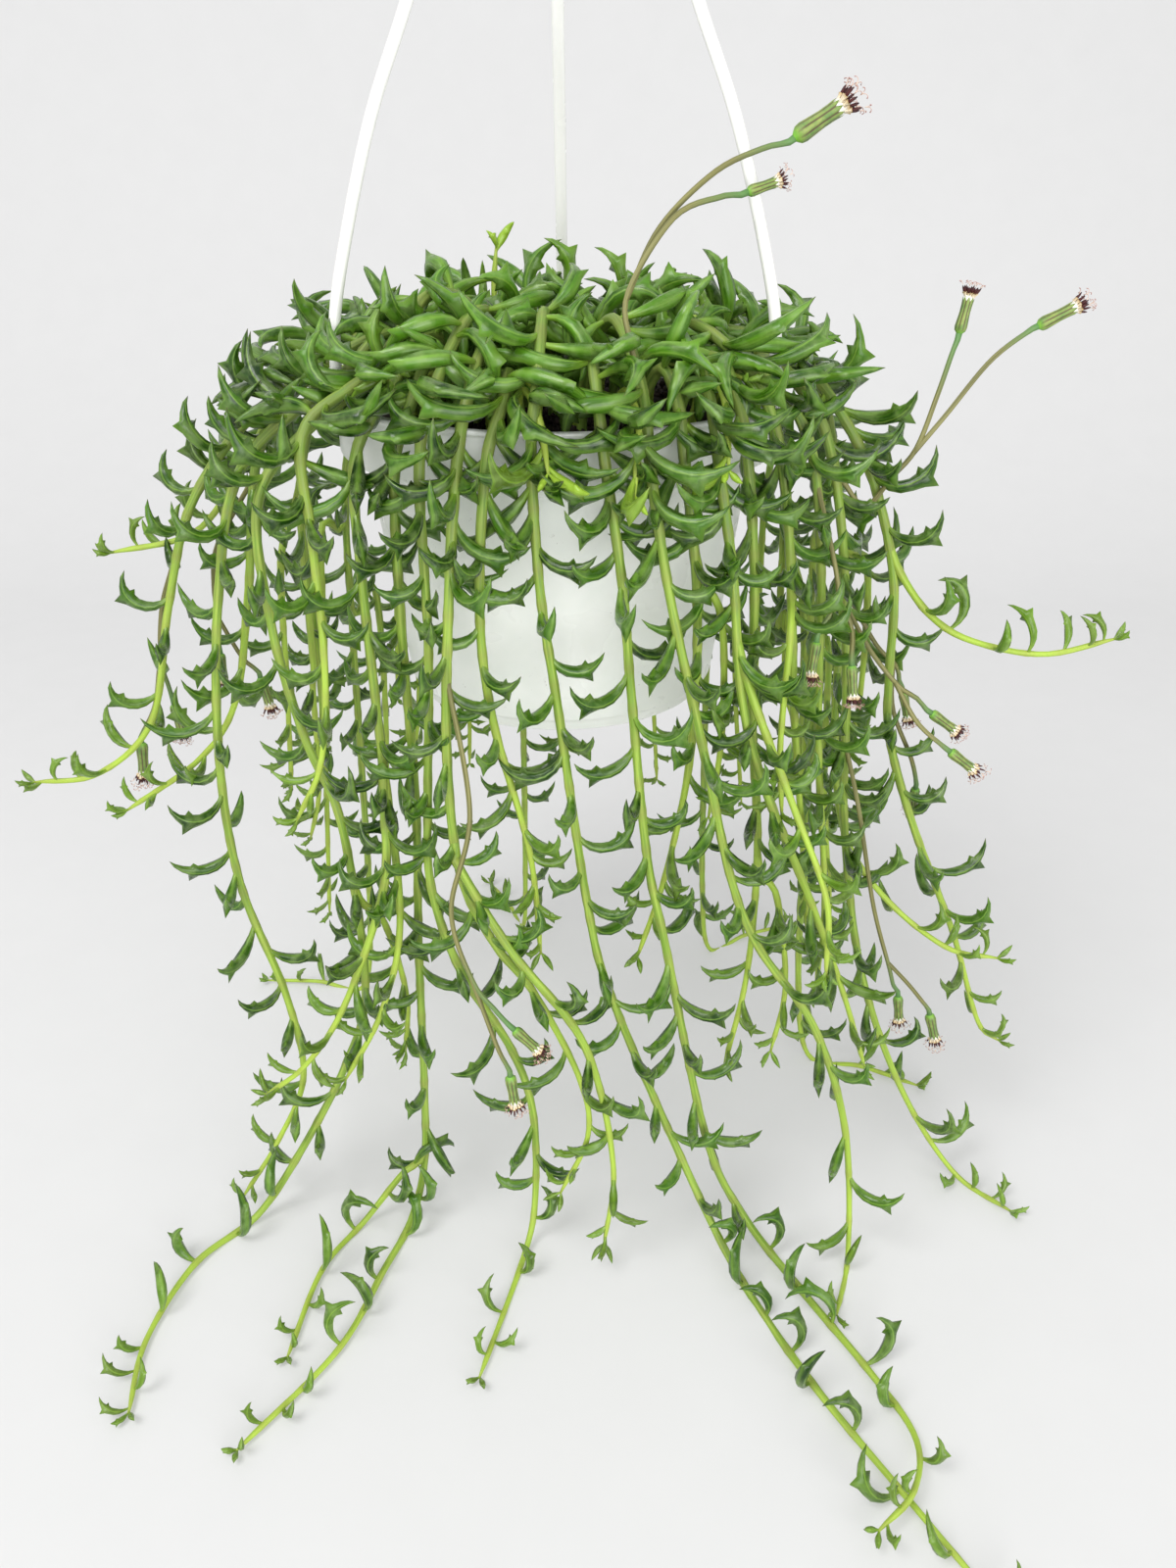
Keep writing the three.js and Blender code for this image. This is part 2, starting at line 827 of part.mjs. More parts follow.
// A stem or a stalk with its leaves, as one closed surface
function leafyTube(path, radiusAt, leaves = []) {
  const skin = new Skin();
  const rings = tubeRings(path, radiusAt);
  const index = rings.map((ring) => ring.map((corner) => skin.add(corner)));
  const places = leaves.map((leaf) => placeLeaf(path, rings, leaf));
  skin.faces.push(index[0][0], index[0][2], index[0][1]);
  for (let i = 0; i + 1 < rings.length; i++) {
    const height = path.stations[i + 1] - path.stations[i];
    for (let side = 0; side < 3; side++) {
      const next = (side + 1) % 3;
      const corners = [rings[i][side], rings[i][next], rings[i + 1][next], rings[i + 1][side]];
      const ids = [index[i][side], index[i][next], index[i + 1][next], index[i + 1][side]];
      const placed = places
        .filter((place) => place.stretch === i && place.side === side)
        .map(({ leaf }) => ({ leaf, along: leaf.arc - path.stations[i] }));
      addFace(skin, corners, ids, height, placed);
    }
  }
  skin.faces.push(...index.at(-1));
  return skin.solid();
}

function stemRadius(path) {
  return (arc, point) => {
    const body = mix(STEM.trail, STEM.crown, smooth(-45, 5, point.z));
    return mix(body, STEM.tip, smooth(path.length - 70, path.length, arc));
  };
}

// Where a stem's leaves stand, how long each is and which way it leaves the stem and curls
function leafSlots(path, seed, first) {
  const slots = [];
  let arc = first;
  for (let k = 0; arc < path.length - 1; k++) {
    const point = path.on(arc);
    const tangent = path.tangent(arc);
    const crown = smooth(-45, 5, point.z);
    const tip = smooth(path.length - 60, path.length, arc);
    const hanging = Math.max(0, -tangent.z);
    const lying = point.z < FLOOR_Z + 14;
    const radial = new THREE.Vector3(point.x, point.y, 0).normalize();
    const reference = across(UP.clone().addScaledVector(radial, 0.5), tangent);
    const side = tangent.clone().cross(reference);
    const turn = 2 * ((k * GOLDEN + draw(seed, 1)) % 1) - 1;
    const angle = lying ? Math.sign(turn) * (52 + 40 * Math.abs(turn)) : LEAF.spread * turn;
    const phi = THREE.MathUtils.degToRad(angle + 50 * (draw(seed, k + 29) - 0.5));
    const high = crown * smooth(4, 26, point.z + 0.3 * Math.max(0, Math.hypot(point.x, point.y) - 45));
    const out = reference
      .clone()
      .multiplyScalar(Math.cos(phi))
      .addScaledVector(side, Math.sin(phi))
      .addScaledVector(tangent, 0.12 + 0.3 * crown + 0.9 * tip)
      .normalize();
    out.z *= 1 - 0.7 * high;
    out.normalize();
    const wide = 0.7 + 1.3 * crown;
    const wander = new THREE.Vector3(
      wide * (draw(seed, k + 11) - 0.5),
      wide * (draw(seed, k + 47) - 0.5),
      1.6 * crown * (draw(seed, k + 61) - 0.5),
    );
    const rising = new THREE.Vector3(0, 0, 1 - 1.25 * high);
    const wanted = rising.addScaledVector(tangent, -0.35).add(wander);
    const usual = mix(mix(LEAF.trailLength, LEAF.crownLength, crown), LEAF.tipLength, tip);
    const trailing = mix(LEAF.lowStep, LEAF.trailStep, smooth(-280, -150, point.z));
    const step = mix(mix(trailing, LEAF.crownStep, crown), LEAF.tipStep, tip);
    slots.push({
      arc,
      base: point,
      out,
      curl: across(wanted, out),
      length: usual * mix(0.72, 1.2, draw(seed, k + 83)),
      width: LEAF.width * mix(1, LEAF.crownWidth, crown) * mix(1, 0.55, tip),
      start: THREE.MathUtils.degToRad(lying ? 8 : 12 - 88 * hanging * (1 - 0.6 * tip)),
      bend: THREE.MathUtils.degToRad(mix(125, 175, draw(seed, k + 131)) - 20 * crown - 50 * tip),
    });
    arc += step * mix(0.7, 1.3, draw(seed, k + 177));
  }
  return slots;
}

// A point of a leaf's centreline, an arc of a circle, with the directions along it and to its hollow side
function leafPoint(slot, share) {
  const angle = slot.start + slot.bend * share;
  const reach = slot.length / slot.bend;
  const point = slot.base
    .clone()
    .addScaledVector(slot.out, reach * (Math.sin(angle) - Math.sin(slot.start)))
    .addScaledVector(slot.curl, reach * (Math.cos(slot.start) - Math.cos(angle)));
  const [sine, cosine] = [Math.sin(angle), Math.cos(angle)];
  const along = slot.out.clone().multiplyScalar(cosine).addScaledVector(slot.curl, sine);
  const hollow = slot.out.clone().multiplyScalar(-sine).addScaledVector(slot.curl, cosine);
  return { point, along, hollow };
}

function leafWidth(slot, share) {
  return slot.width * (0.32 + 0.68 * smooth(0, 0.48, share)) * (1 - share ** 2.3) ** 0.9;
}

// The crescent, from its root in the stem's skin to its point, with one tooth on its hollow side and one on
// its outer side
function growLeaf(skin, slot, base) {
  const flat = slot.out.clone().cross(slot.curl);
  const scale = slot.length / LEAF.trailLength;
  let ring = base;
  LEAF.rings.forEach((share, i) => {
    const { point, hollow } = leafPoint(slot, share);
    const width = leafWidth(slot, share);
    const toothed = i === LEAF.toothRing ? scale : 0;
    const inner = toothed * LEAF.innerTooth;
    const outer = toothed * LEAF.outerTooth;
    const corners = [
      point.clone().addScaledVector(hollow, width + inner),
      point.clone().addScaledVector(hollow, -0.6 * width).addScaledVector(flat, width),
      point.clone().addScaledVector(hollow, -0.6 * width - outer).addScaledVector(flat, -width),
    ];
    const next = corners.map((corner) => skin.add(corner));
    skin.band(ring, next);
    ring = next;
  });
  const tip = skin.add(leafPoint(slot, 1).point);
  for (let side = 0; side < 3; side++) skin.faces.push(ring[side], ring[(side + 1) % 3], tip);
}

// Points and radii that stand for a leaf when it is tested against its neighbours. Like the leaf's surface,
// they run straight from ring to ring.
function leafBalls(slot) {
  const balls = [];
  const shares = [0, ...LEAF.rings, 1];
  for (let i = 0; i + 1 < shares.length; i++) {
    const [low, high] = [leafPoint(slot, shares[i]).point, leafPoint(slot, shares[i + 1]).point];
    for (const along of [1 / 3, 2 / 3, 1]) {
      const width = leafWidth(slot, mix(shares[i], shares[i + 1], along));
      balls.push({ point: low.clone().lerp(high, along), radius: Math.max(0.4, 1.15 * width) });
    }
  }
  const { point, hollow } = leafPoint(slot, 0.6);
  const scale = slot.length / LEAF.trailLength;
  const width = leafWidth(slot, 0.6);
  const inner = width + scale * LEAF.innerTooth;
  const outer = 0.6 * width + scale * LEAF.outerTooth;
  balls.push({ point: point.clone().addScaledVector(hollow, inner), radius: 0.3 });
  balls.push({ point: point.clone().addScaledVector(hollow, -outer), radius: 0.8 });
  return balls;
}

// True where a ball would touch the pot, the mix, the hanger's arms or the ground
function touchesHolder({ point, radius }, armPoints) {
  const margin = radius + LEAF_CLEAR;
  const r = Math.hypot(point.x, point.y);
  if (point.z - radius < FLOOR_Z) return true;
  if (r < POT.lip + margin && point.z < margin && r > POT.collarInside - margin) return true;
  if (r < POT.lip + margin && point.z < MIX.top + margin) return true;
  return armPoints.some((arm) => arm.point.distanceTo(point) < arm.radius + margin);
}

function near(balls, others) {
  return balls.some(({ point, radius }) => {
    return others.some((other) => point.distanceTo(other.point) < radius + other.radius + LEAF_CLEAR);
  });
}

// Balls along the arms and their feet
function armBalls() {
  const balls = [];
  for (const azimuth of EAR.azimuths) {
    const bow = armCurve(azimuth);
    for (const point of bow.getSpacedPoints(80)) balls.push({ point, radius: ARM.radius });
    for (const height of [0, 4, 8, 11]) {
      balls.push({ point: around(azimuth, EAR.centre, height), radius: PEG.flare + 1 });
    }
  }
  return balls;
}

function pathBalls(path, radiusAt) {
  return path.samples.map(({ arc, point }) => ({ path, arc, point, radius: radiusAt(arc, point) }));
}

const rows = [...STEMS, ...backStems()];
const stems = rows.map((row, i) => {
  const main = stemRoute(row);
  const twigs = (row.branches ?? []).map(({ at, way }) => {
    const start = main.on(at);
    const ahead = main.on(at + 6);
    return new Path([start, ahead.lerp(vector(way[0]), 0.25), ...way.map(vector)]);
  });
  const paths = [main, ...twigs];
  const balls = paths.flatMap((path) => pathBalls(path, stemRadius(path)));
  return { name: "leafy_stem_" + String(i + 1).padStart(2, "0"), paths, balls };
});

// The stalks and cups of each spray, and the tuft in each cup
function cupDirection(head) {
  return vector(head.facing).normalize();
}

function placedAlong(geometry, origin, direction) {
  const turn = new THREE.Quaternion().setFromUnitVectors(new THREE.Vector3(0, 1, 0), direction);
  return solidOf(geometry.applyQuaternion(turn).translate(origin.x, origin.y, origin.z));
}

function cupSolid(head) {
  const profile = [
    [0, -0.8],
    [CUP.base, 0],
    [CUP.belly, 3],
    [CUP.mouth, CUP.length],
    [0, CUP.length],
  ].map(([radius, height]) => new THREE.Vector2(radius * head.size, height * head.size));
  return placedAlong(new THREE.LatheGeometry(profile, CUP.sides), vector(head.cup), cupDirection(head));
}

function tuftSolid(head) {
  const profile = [
    [0, 0],
    [TUFT.root, 0],
    [TUFT.spread, TUFT.length],
    [0, TUFT.length * 0.62],
  ].map(([radius, height]) => new THREE.Vector2(radius, height));
  const geometry = new THREE.LatheGeometry(profile, TUFT.points * 2);
  const position = geometry.attributes.position;
  for (let i = 0; i < position.count; i++) {
    const ray = Math.floor(i / profile.length) % 2;
    if (i % profile.length === 2 && ray === 1) {
      const shrink = TUFT.inner / TUFT.spread;
      position.setXYZ(i, position.getX(i) * shrink, TUFT.length * 0.55, position.getZ(i) * shrink);
    }
  }
  const direction = cupDirection(head);
  const origin = vector(head.cup).addScaledVector(direction, CUP.length * head.size + GAP);
  return placedAlong(geometry.scale(head.size, head.size, head.size), origin, direction);
}

const sprays = SPRAYS.map((row, i) => {
  const host = stems[row.stem].paths[0];
  const foot = host.on(row.at);
  const leaving = faceDirection(host, row.at, vector(row.stalk[0]).sub(foot));
  const gap = stemRadius(host)(row.at, foot) / 2 + GAP;
  const start = foot.clone().addScaledVector(leaving, gap);
  const lead = foot.clone().addScaledVector(leaving, gap + 3);
  const ends = row.heads.map((head) => {
    const cup = vector(head.cup);
    const direction = cupDirection(head);
    const neck = cup.clone().addScaledVector(direction, -3);
    const inside = cup.clone().addScaledVector(direction, 2);
    return [...head.way.map(vector), neck, inside];
  });
  const main = new Path([start, lead, ...row.stalk.map(vector), ...ends[0]], STALK.turn);
  const fork = main.on(main.arcNear(vector(row.stalk.at(-1))) - 2);
  const paths = [main, new Path([fork, ...ends[1]], STALK.turn)];
  const balls = paths.flatMap((path) => pathBalls(path, () => STALK.radius));
  for (const head of row.heads) {
    for (let along = 0; along <= CUP.length + TUFT.length; along += 3) {
      const radius = head.size * (along > CUP.length ? TUFT.spread : CUP.belly);
      const point = vector(head.cup).addScaledVector(cupDirection(head), head.size * along);
      balls.push({ point, radius });
    }
  }
  return { name: "flower_spray_" + String(i + 1).padStart(2, "0"), paths, balls, heads: row.heads };
});

// Leaves are set one by one: a slot is passed over where its leaf would touch a neighbour
function growLeaves() {
  const arms = armBalls();
  const fixed = [...stems, ...sprays].flatMap((plant) => plant.balls);
  const grown = [];
  stems.forEach((stem, i) => {
    stem.leaves = stem.paths.map((path, p) => {
      const kept = [];
      const slots = leafSlots(path, 10 * (i + 1) + p, p === 0 ? LEAF.first : 10);
      let next = slots[0].arc + LEAF.apart * draw(i, p);
      slots.forEach((slot, k) => {
        if (slot.arc < next && k < slots.length - 1) return;
        const balls = leafBalls(slot);
        const close = [...fixed, ...grown].filter((ball) => {
          const own = ball.path === path && Math.abs(ball.arc - slot.arc) < LEAF.ownReach;
          return !own && ball.point.distanceTo(slot.base) < 1.6 * slot.length;
        });
        const past = p > 0 && slot.arc < 14 ? balls.slice(2) : balls;
        if (balls.some((ball) => touchesHolder(ball, arms)) || near(past, close)) return;
        kept.push(slot);
        grown.push(...balls);
        next = slot.arc + LEAF.apart;
      });
      return kept;
    });
  });
}

growLeaves();

// The mix fills the pot below its mound, with a plain hole for each stem
function pottingMix() {
  const filled = turned(
    [
      [0, POT.floor + GAP - POT.height],
      [POT.base - 1.2, POT.floor + GAP - POT.height],
      [POT.shoulder - POT.wall - 0.7, -POT.collarHeight - 1.5],
      [POT.shoulder - POT.wall - 0.7, -POT.collarHeight - 0.1],
      [POT.collarInside - 0.8, 1.3 + GAP - POT.collarHeight],
      [POT.collarInside - 0.8, MIX.edge - 1],
      [50, MIX.edge + 2],
      [0, MIX.top],
    ],
    MIX.segments,
  );
  const holes = rows.map(({ az, root }) => {
    const centre = around(az, root, 0);
    return post(centre.x, centre.y, -MIX.rootDepth - 0.6, 6, MIX.holeRadius, 4);
  });
  return filled.subtract(joined(holes));
}

const plant = new THREE.Group();
plant.position.z = -RIM_DROP;
plant.add(meshOf("pot", pot(), plastic));
plant.add(meshOf("hanger", hanger(), moulding));
plant.add(meshOf("potting_mix", pottingMix(), soil));
for (const stem of stems) {
  const tubes = stem.paths.map((path, p) => leafyTube(path, stemRadius(path), stem.leaves[p]));
  plant.add(meshOf(stem.name, joined(tubes), foliage));
}
for (const spray of sprays) {
  const stalks = spray.paths.map((path) => leafyTube(path, () => STALK.radius));
  plant.add(meshOf(spray.name, joined([...stalks, ...spray.heads.map(cupSolid)]), olive));
  spray.heads.forEach((head, i) => {
    plant.add(meshOf(spray.name.replace("spray", "tuft") + "ab"[i], tuftSolid(head), cream));
  });
}

const group = new THREE.Group();
group.add(plant);
export default group;
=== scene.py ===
# %% [markdown]
# # Potted string of dolphins
# A trailing succulent in the white hanging pot that a nursery sells it in. The pot and its hanger are two
# plastic mouldings. The plant is thirty long stems with crescent leaves, and nine thin flower sprays.
#
# Each piece here is worked out from the same measures as the solid model, in millimetres, with the middle
# of the pot's rim as origin. `to_scene` then moves a piece to the frame's origin, which is inside the
# hook's bend where it bears on its rail, and turns it into metres.

# %% The frame and its parts
import math
from collections import namedtuple

import bpy
import numpy as np
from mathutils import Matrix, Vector


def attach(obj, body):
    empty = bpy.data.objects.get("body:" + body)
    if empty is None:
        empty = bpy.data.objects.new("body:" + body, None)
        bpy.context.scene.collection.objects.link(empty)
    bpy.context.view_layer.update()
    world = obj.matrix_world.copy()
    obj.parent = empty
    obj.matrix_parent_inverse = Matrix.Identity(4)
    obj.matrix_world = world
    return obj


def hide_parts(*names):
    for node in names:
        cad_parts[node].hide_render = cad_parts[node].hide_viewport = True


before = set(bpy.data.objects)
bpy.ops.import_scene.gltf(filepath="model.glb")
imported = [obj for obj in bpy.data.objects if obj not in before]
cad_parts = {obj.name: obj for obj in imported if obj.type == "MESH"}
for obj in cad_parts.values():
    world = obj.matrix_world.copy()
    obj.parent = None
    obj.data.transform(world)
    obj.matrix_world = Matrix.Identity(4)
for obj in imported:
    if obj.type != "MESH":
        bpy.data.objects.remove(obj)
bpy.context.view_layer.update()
print("nodes in the frame:", len(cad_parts))

# %% [markdown]
# ## Small tools
# Modifiers could draw a curve or a lathe, but leaves have to know where the stems and the pot are. So every
# surface is a stack of rings, worked out with numpy for all its points at once, and other pieces can ask
# for its formula. `draw` gives the same scattered numbers on each run, so that a leaf is always where it
# was. Lengths are in millimetres: the rim lies `RIM_DROP` under the frame's origin, and the ground at
# `FLOOR_Z` from the rim.

# %% Vectors and scattered numbers
MM = 1000.0
RIM_DROP = 265.0
FLOOR_Z = -300.0


def mix(a, b, share):
    """The value that is `share` of the way from a to b."""
    return a + (b - a) * share


def smooth(low, high, value):
    """0 below low, 1 above high, and 3t^2 - 2t^3 between them."""
    t = np.clip((value - low) / (high - low), 0, 1)
    return t * t * (3 - 2 * t)


def draw(i, j):
    """A scattered number from 0 to 1: the fraction of 43758.5 sin(13 i + 78 j)."""
    return np.sin(12.9898 * i + 78.233 * j) * 43758.5453 % 1


def unit(vector):
    return vector / np.linalg.norm(vector, axis=-1, keepdims=True)


def across(wanted, along):
    """The part of `wanted` that is square to `along`, with length 1."""
    wanted, along = np.asarray(wanted, float), np.asarray(along, float)
    return unit(wanted - (wanted * along).sum(-1, keepdims=True) * along)


def around(azimuth, radius, height):
    """A point at an azimuth in degrees from the front, towards +X."""
    turn = np.radians(azimuth)
    return np.array([np.sin(turn) * radius, -np.cos(turn) * radius, height + 0 * turn])


def grain(points, size, seed):
    """A rough surface's height, about -1 to 1: the mean of 14 sine waves, each about `size` long."""
    dice = np.random.default_rng(seed)
    waves = unit(dice.normal(size=(14, 3))) * (2 * np.pi / (size * dice.uniform(0.6, 1.7, (14, 1))))
    return np.sin(points @ waves.T + dice.uniform(0, 2 * np.pi, 14)).mean(-1) * 1.9


def to_scene(points):
    """Millimetres from the rim's middle as metres from the frame's origin."""
    return (np.asarray(points, float) - (0, 0, RIM_DROP)) / MM


print("the ground in the frame, m:", to_scene((0, 0, FLOOR_Z)))

# %% [markdown]
# ### Curves
# Stems, arms and the hook are smooth bends of a known length. A curve object could draw them, but then its
# points would be hidden from the leaves that stand on it.

# %% Curves measured along themselves
def spline(points, power=0.0, fine=24):
    """A smooth curve through points. Between two points it is a cubic that leaves each one with the slope of
    the parabola through its neighbours. Its knots are spaced by distance to a power: 0 for stems, 0.5 for
    mouldings."""
    p = np.asarray(points, float)
    p = np.vstack([2 * p[0] - p[1], p, 2 * p[-1] - p[-2]])
    gaps = np.linalg.norm(np.diff(p, axis=0), axis=1)[:, None] ** power
    before, here, after = gaps[:-2], gaps[1:-1], gaps[2:]
    a, b, c, d = p[:-3], p[1:-2], p[2:-1], p[3:]
    leave = ((b - a) / before - (c - a) / (before + here) + (c - b) / here) * here
    reach = ((c - b) / here - (d - b) / (here + after) + (d - c) / after) * here
    t = (np.arange(fine) / fine)[None, :, None]
    b, c, leave, reach = b[:, None], c[:, None], leave[:, None], reach[:, None]
    curve = (2 * t**3 - 3 * t**2 + 1) * b + (t**3 - 2 * t**2 + t) * leave
    curve = curve + (3 * t**2 - 2 * t**3) * c + (t**3 - t**2) * reach
    return np.vstack([curve.reshape(-1, 3), p[-2]])


class Path:
    """A curve whose points are found by the distance along it."""

    def __init__(self, points, power=0.0):
        self.points = spline(points, power)
        steps = np.linalg.norm(np.diff(self.points, axis=0), axis=1)
        self.arcs = np.append(0, np.cumsum(steps))
        self.length = self.arcs[-1]

    def on(self, arc):
        return np.stack([np.interp(arc, self.arcs, self.points[:, i]) for i in range(3)], -1)

    def along(self, arc):
        arc = np.asarray(arc, float)
        return unit(self.on(np.minimum(arc + 1, self.length)) - self.on(np.maximum(arc - 1, 0)))

    def nearest(self, point):
        return self.arcs[np.argmin(np.linalg.norm(self.points - point, axis=1))]


bend = Path([(10, 0, 0), (7.07, 7.07, 0), (0, 10, 0)])
print("a quarter of a 10 mm circle, through three points:", round(bend.length, 2), "mm")

# %% [markdown]
# ### Tubes and turned shapes
# Nearly every part is one of two things. What grows or bends is a ring carried along a path, and what comes
# from a round mould is an outline turned about an axis. The outline's corners are rounded before it turns, so
# no Bevel has to find them later.

# %% Tubes and turned shapes
def tube(path, radius, sides=8, pitch=4.0, first=(0.31, 0.52, 0.8), oval=1.0):
    """Rings round a path: centre + radius (cos a normal + oval sin a side). The normal is carried from ring
    to ring and turned as little as it can be. Gives the rings and the distance of each."""
    arcs = np.linspace(0, path.length, max(4, round(path.length / pitch) + 1))
    along = path.along(arcs)
    normals = [across(first, along[0])]
    for tangent in along[1:]:
        normals.append(across(normals[-1], tangent))
    normal = np.array(normals)
    side = np.cross(along, normal)
    centre = path.on(arcs)
    angle = np.arange(sides) * 2 * np.pi / sides
    swing = np.cos(angle)[:, None] * normal[:, None] + oval * np.sin(angle)[:, None] * side[:, None]
    return centre[:, None] + radius(arcs, centre)[:, None, None] * swing, arcs


def rounded(profile, radius, steps=4):
    """A profile of (r, z) corners with each corner turned into a parabola that starts `radius` before it."""
    corners = np.asarray(profile, float)
    t = np.linspace(0, 1, steps + 1)[:, None]
    points = [corners[:1]]
    for before, corner, after in zip(corners, corners[1:], corners[2:]):
        into, onward = before - corner, after - corner
        start = corner + into * min(0.45, radius / np.linalg.norm(into))
        end = corner + onward * min(0.45, radius / np.linalg.norm(onward))
        points.append((1 - t) ** 2 * start + 2 * t * (1 - t) * corner + t**2 * end)
    return np.vstack([*points, corners[-1:]])


def lathe(profile, segments):
    """Rings of a turned shape: each (r, z) of the profile becomes a ring of `segments` points."""
    angle = np.arange(segments) * 2 * np.pi / segments
    r, z = np.asarray(profile, float).T
    flat = r[:, None, None] * np.stack([np.cos(angle), np.sin(angle)], -1)
    return np.concatenate([flat, np.broadcast_to(z[:, None, None], (*flat.shape[:2], 1))], -1)


print("points of a 1 mm bead:", lathe(rounded([(0, -1), (1, -1), (1, 1), (0, 1)], 0.5), 8).shape)

# %% [markdown]
# ### From rings to a piece
# A stem and all its leaves are one piece with thousands of rings. Their quads are found by counting, and
# each point also keeps a few values, such as its share of the leaf's length, that the finishes turn into
# colour.

# %% Surfaces and pieces
class Skin:
    """The surfaces of one piece: points, faces, each face's finish, and values that the finishes read."""

    def __init__(self):
        self.points, self.faces, self.finish, self.marks, self.count = [], [], [], [], 0

    def rings(self, rings, finish=0, caps=True, **marks):
        """Adds a stack of rings, or many stacks at once: an array (..., ring, point, 3) becomes quads between
        neighbouring rings, and a face over each end where caps is true."""
        rings = np.asarray(rings, float)
        *_, n, m, _ = rings.shape
        size = rings[..., 0].size
        index = self.count + np.arange(size).reshape(-1, n, m)
        turned = np.roll(index, -1, axis=2)
        quads = np.stack([index[:, :-1], turned[:, :-1], turned[:, 1:], index[:, 1:]], -1)
        faces = quads.reshape(-1, 4).tolist()
        if caps:
            faces += index[:, 0, ::-1].tolist() + index[:, -1].tolist()
        self.points.append(rings.reshape(-1, 3))
        self.faces += faces
        self.finish += [finish] * len(faces)
        filled = {}
        for name, value in marks.items():
            wanted, wide = (rings.shape, 3) if name == "strand" else (rings.shape[:-1], 1)
            filled[name] = np.broadcast_to(np.asarray(value, float), wanted).reshape(-1, wide)
        self.marks.append((size, filled))
        self.count += size

    def mesh(self, name):
        """The mesh of the points, in metres, and of the faces."""
        mesh = bpy.data.meshes.new(name)
        mesh.from_pydata(to_scene(np.vstack(self.points)).tolist(), [], self.faces)
        return mesh


def put(name, data, place=(0, 0, 0), turn=(0, 0, 0)):
    """Puts a mesh, a lamp or a camera into the scene."""
    made = bpy.data.objects.new(name, data)
    made.location, made.rotation_euler = place, turn
    bpy.context.scene.collection.objects.link(made)
    return made


def add_node(name, skin, finishes, slot, *nodes):
    """Makes the piece from its skin, with its finishes and values, puts it under the root body, and hides the
    nodes it stands for.
    """
    mesh = skin.mesh(name)
    for finish in finishes:
        mesh.materials.append(finish)
    mesh.polygons.foreach_set("material_index", skin.finish)
    mesh.polygons.foreach_set("use_smooth", [True] * len(skin.faces))
    for mark in sorted({mark for _, filled in skin.marks for mark in filled}):
        kind, field, wide = ("FLOAT_VECTOR", "vector", 3) if mark == "strand" else ("FLOAT", "value", 1)
        values = np.vstack([filled.get(mark, np.zeros((size, wide))) for size, filled in skin.marks])
        mesh.attributes.new(mark, kind, "POINT").data.foreach_set(field, values.ravel().astype(np.float32))
    mesh.update()
    piece = put(name, mesh)
    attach(piece, "root")
    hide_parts(*nodes)
    return piece


# %% [markdown]
# ## Finishes
# Each finish is a shader whose colour, roughness and relief come from textures at the size of the real
# thing: a scale of `MM / 5` makes patches of about 5 mm. Colours are written as they are seen on a screen,
# and `colour` turns them into light.

# %% Wiring a finish
NOISE_SPAN = (0.35, 0.65)
USUAL = {
    "Attribute": {"give": "Fac"},
    "Math": {"operation": "MULTIPLY"},
    "Mix": {"data_type": "RGBA"},
    "TexCoord": {"give": "Object"},
    "TexNoise": {"Detail": 3.0, "Roughness": 0.55},
}


def colour(code):
    """A screen colour such as #4f8a4a as linear light: ((c + 0.055) / 1.055)^2.4, or c / 12.92 when dark."""
    values = np.array([int(code[i : i + 2], 16) for i in (1, 3, 5)]) / 255
    light = np.where(values > 0.04045, ((values + 0.055) / 1.055) ** 2.4, values / 12.92)
    return (*light.tolist(), 1.0)


class Finish:
    """A principled shader and the textures that feed it. A text given to a socket is a screen colour."""

    def __init__(self, name, **sockets):
        self.material = bpy.data.materials.new(name)
        self.material.use_nodes = True
        self.tree = self.material.node_tree
        self.done(**sockets)

    def fill(self, socket, value):
        """Links the socket to another one, or sets its value."""
        if isinstance(value, bpy.types.NodeSocket):
            self.tree.links.new(value, socket)
        else:
            socket.default_value = colour(value) if isinstance(value, str) else value

    def add(self, kind, *values, **named):
        """Adds a node, with what is usual for its kind and what is named: settings, sockets, which have a
        capital and underscores for spaces, and the output to give. Plain values fill its sockets in order."""
        node = self.tree.nodes.new("ShaderNode" + kind)
        named = {**USUAL.get(kind, {}), **named}
        give = named.pop("give", None)
        for name, value in named.items():
            if name.islower():
                setattr(node, name, value)
            else:
                self.fill(node.inputs[name.replace("_", " ")], value)
        for socket, value in zip([socket for socket in node.inputs if socket.enabled], values):
            self.fill(socket, value)
        return node.outputs[give] if give else [socket for socket in node.outputs if socket.enabled][0]

    def done(self, **sockets):
        """Sets or links the shader's own sockets, and gives the material."""
        for name, value in sockets.items():
            self.fill(self.tree.nodes["Principled BSDF"].inputs[name.replace("_", " ")], value)
        return self.material


print("white plastic as light:", np.round(colour("#f9faf7"), 3))

# %% [markdown]
# ### White plastic
# Pot and hanger are injection-moulded polypropylene, which lets a little light in. A plain white would look
# like paint, so a cloud makes white and gloss vary over some centimetres, above the slow waves of the
# mould. The pot carries fine specks of soil, in patches. The hanger comes glossier from its mould.

# %% Pot and hanger plastic
def moulded(name, patch, gloss, wave, relief, strength, **sockets):
    """What both share: a cloud of `patch` mm for the gloss, and waves `wave` mm long and `relief` high."""
    plastic = Finish(name, IOR=1.49, Subsurface_Radius=(1.0, 1.0, 0.9), **sockets)
    place = plastic.add("TexCoord")
    cloud = plastic.add("TexNoise", Vector=place, Scale=MM / patch)
    waves = plastic.add("TexNoise", Vector=place, Scale=MM / wave, Detail=1.0)
    plastic.done(
        Roughness=plastic.add("MapRange", cloud, 0.3, 0.7, *gloss),
        Normal=plastic.add("Bump", Height=waves, Distance=relief / MM, Strength=strength),
    )
    return plastic, place, cloud


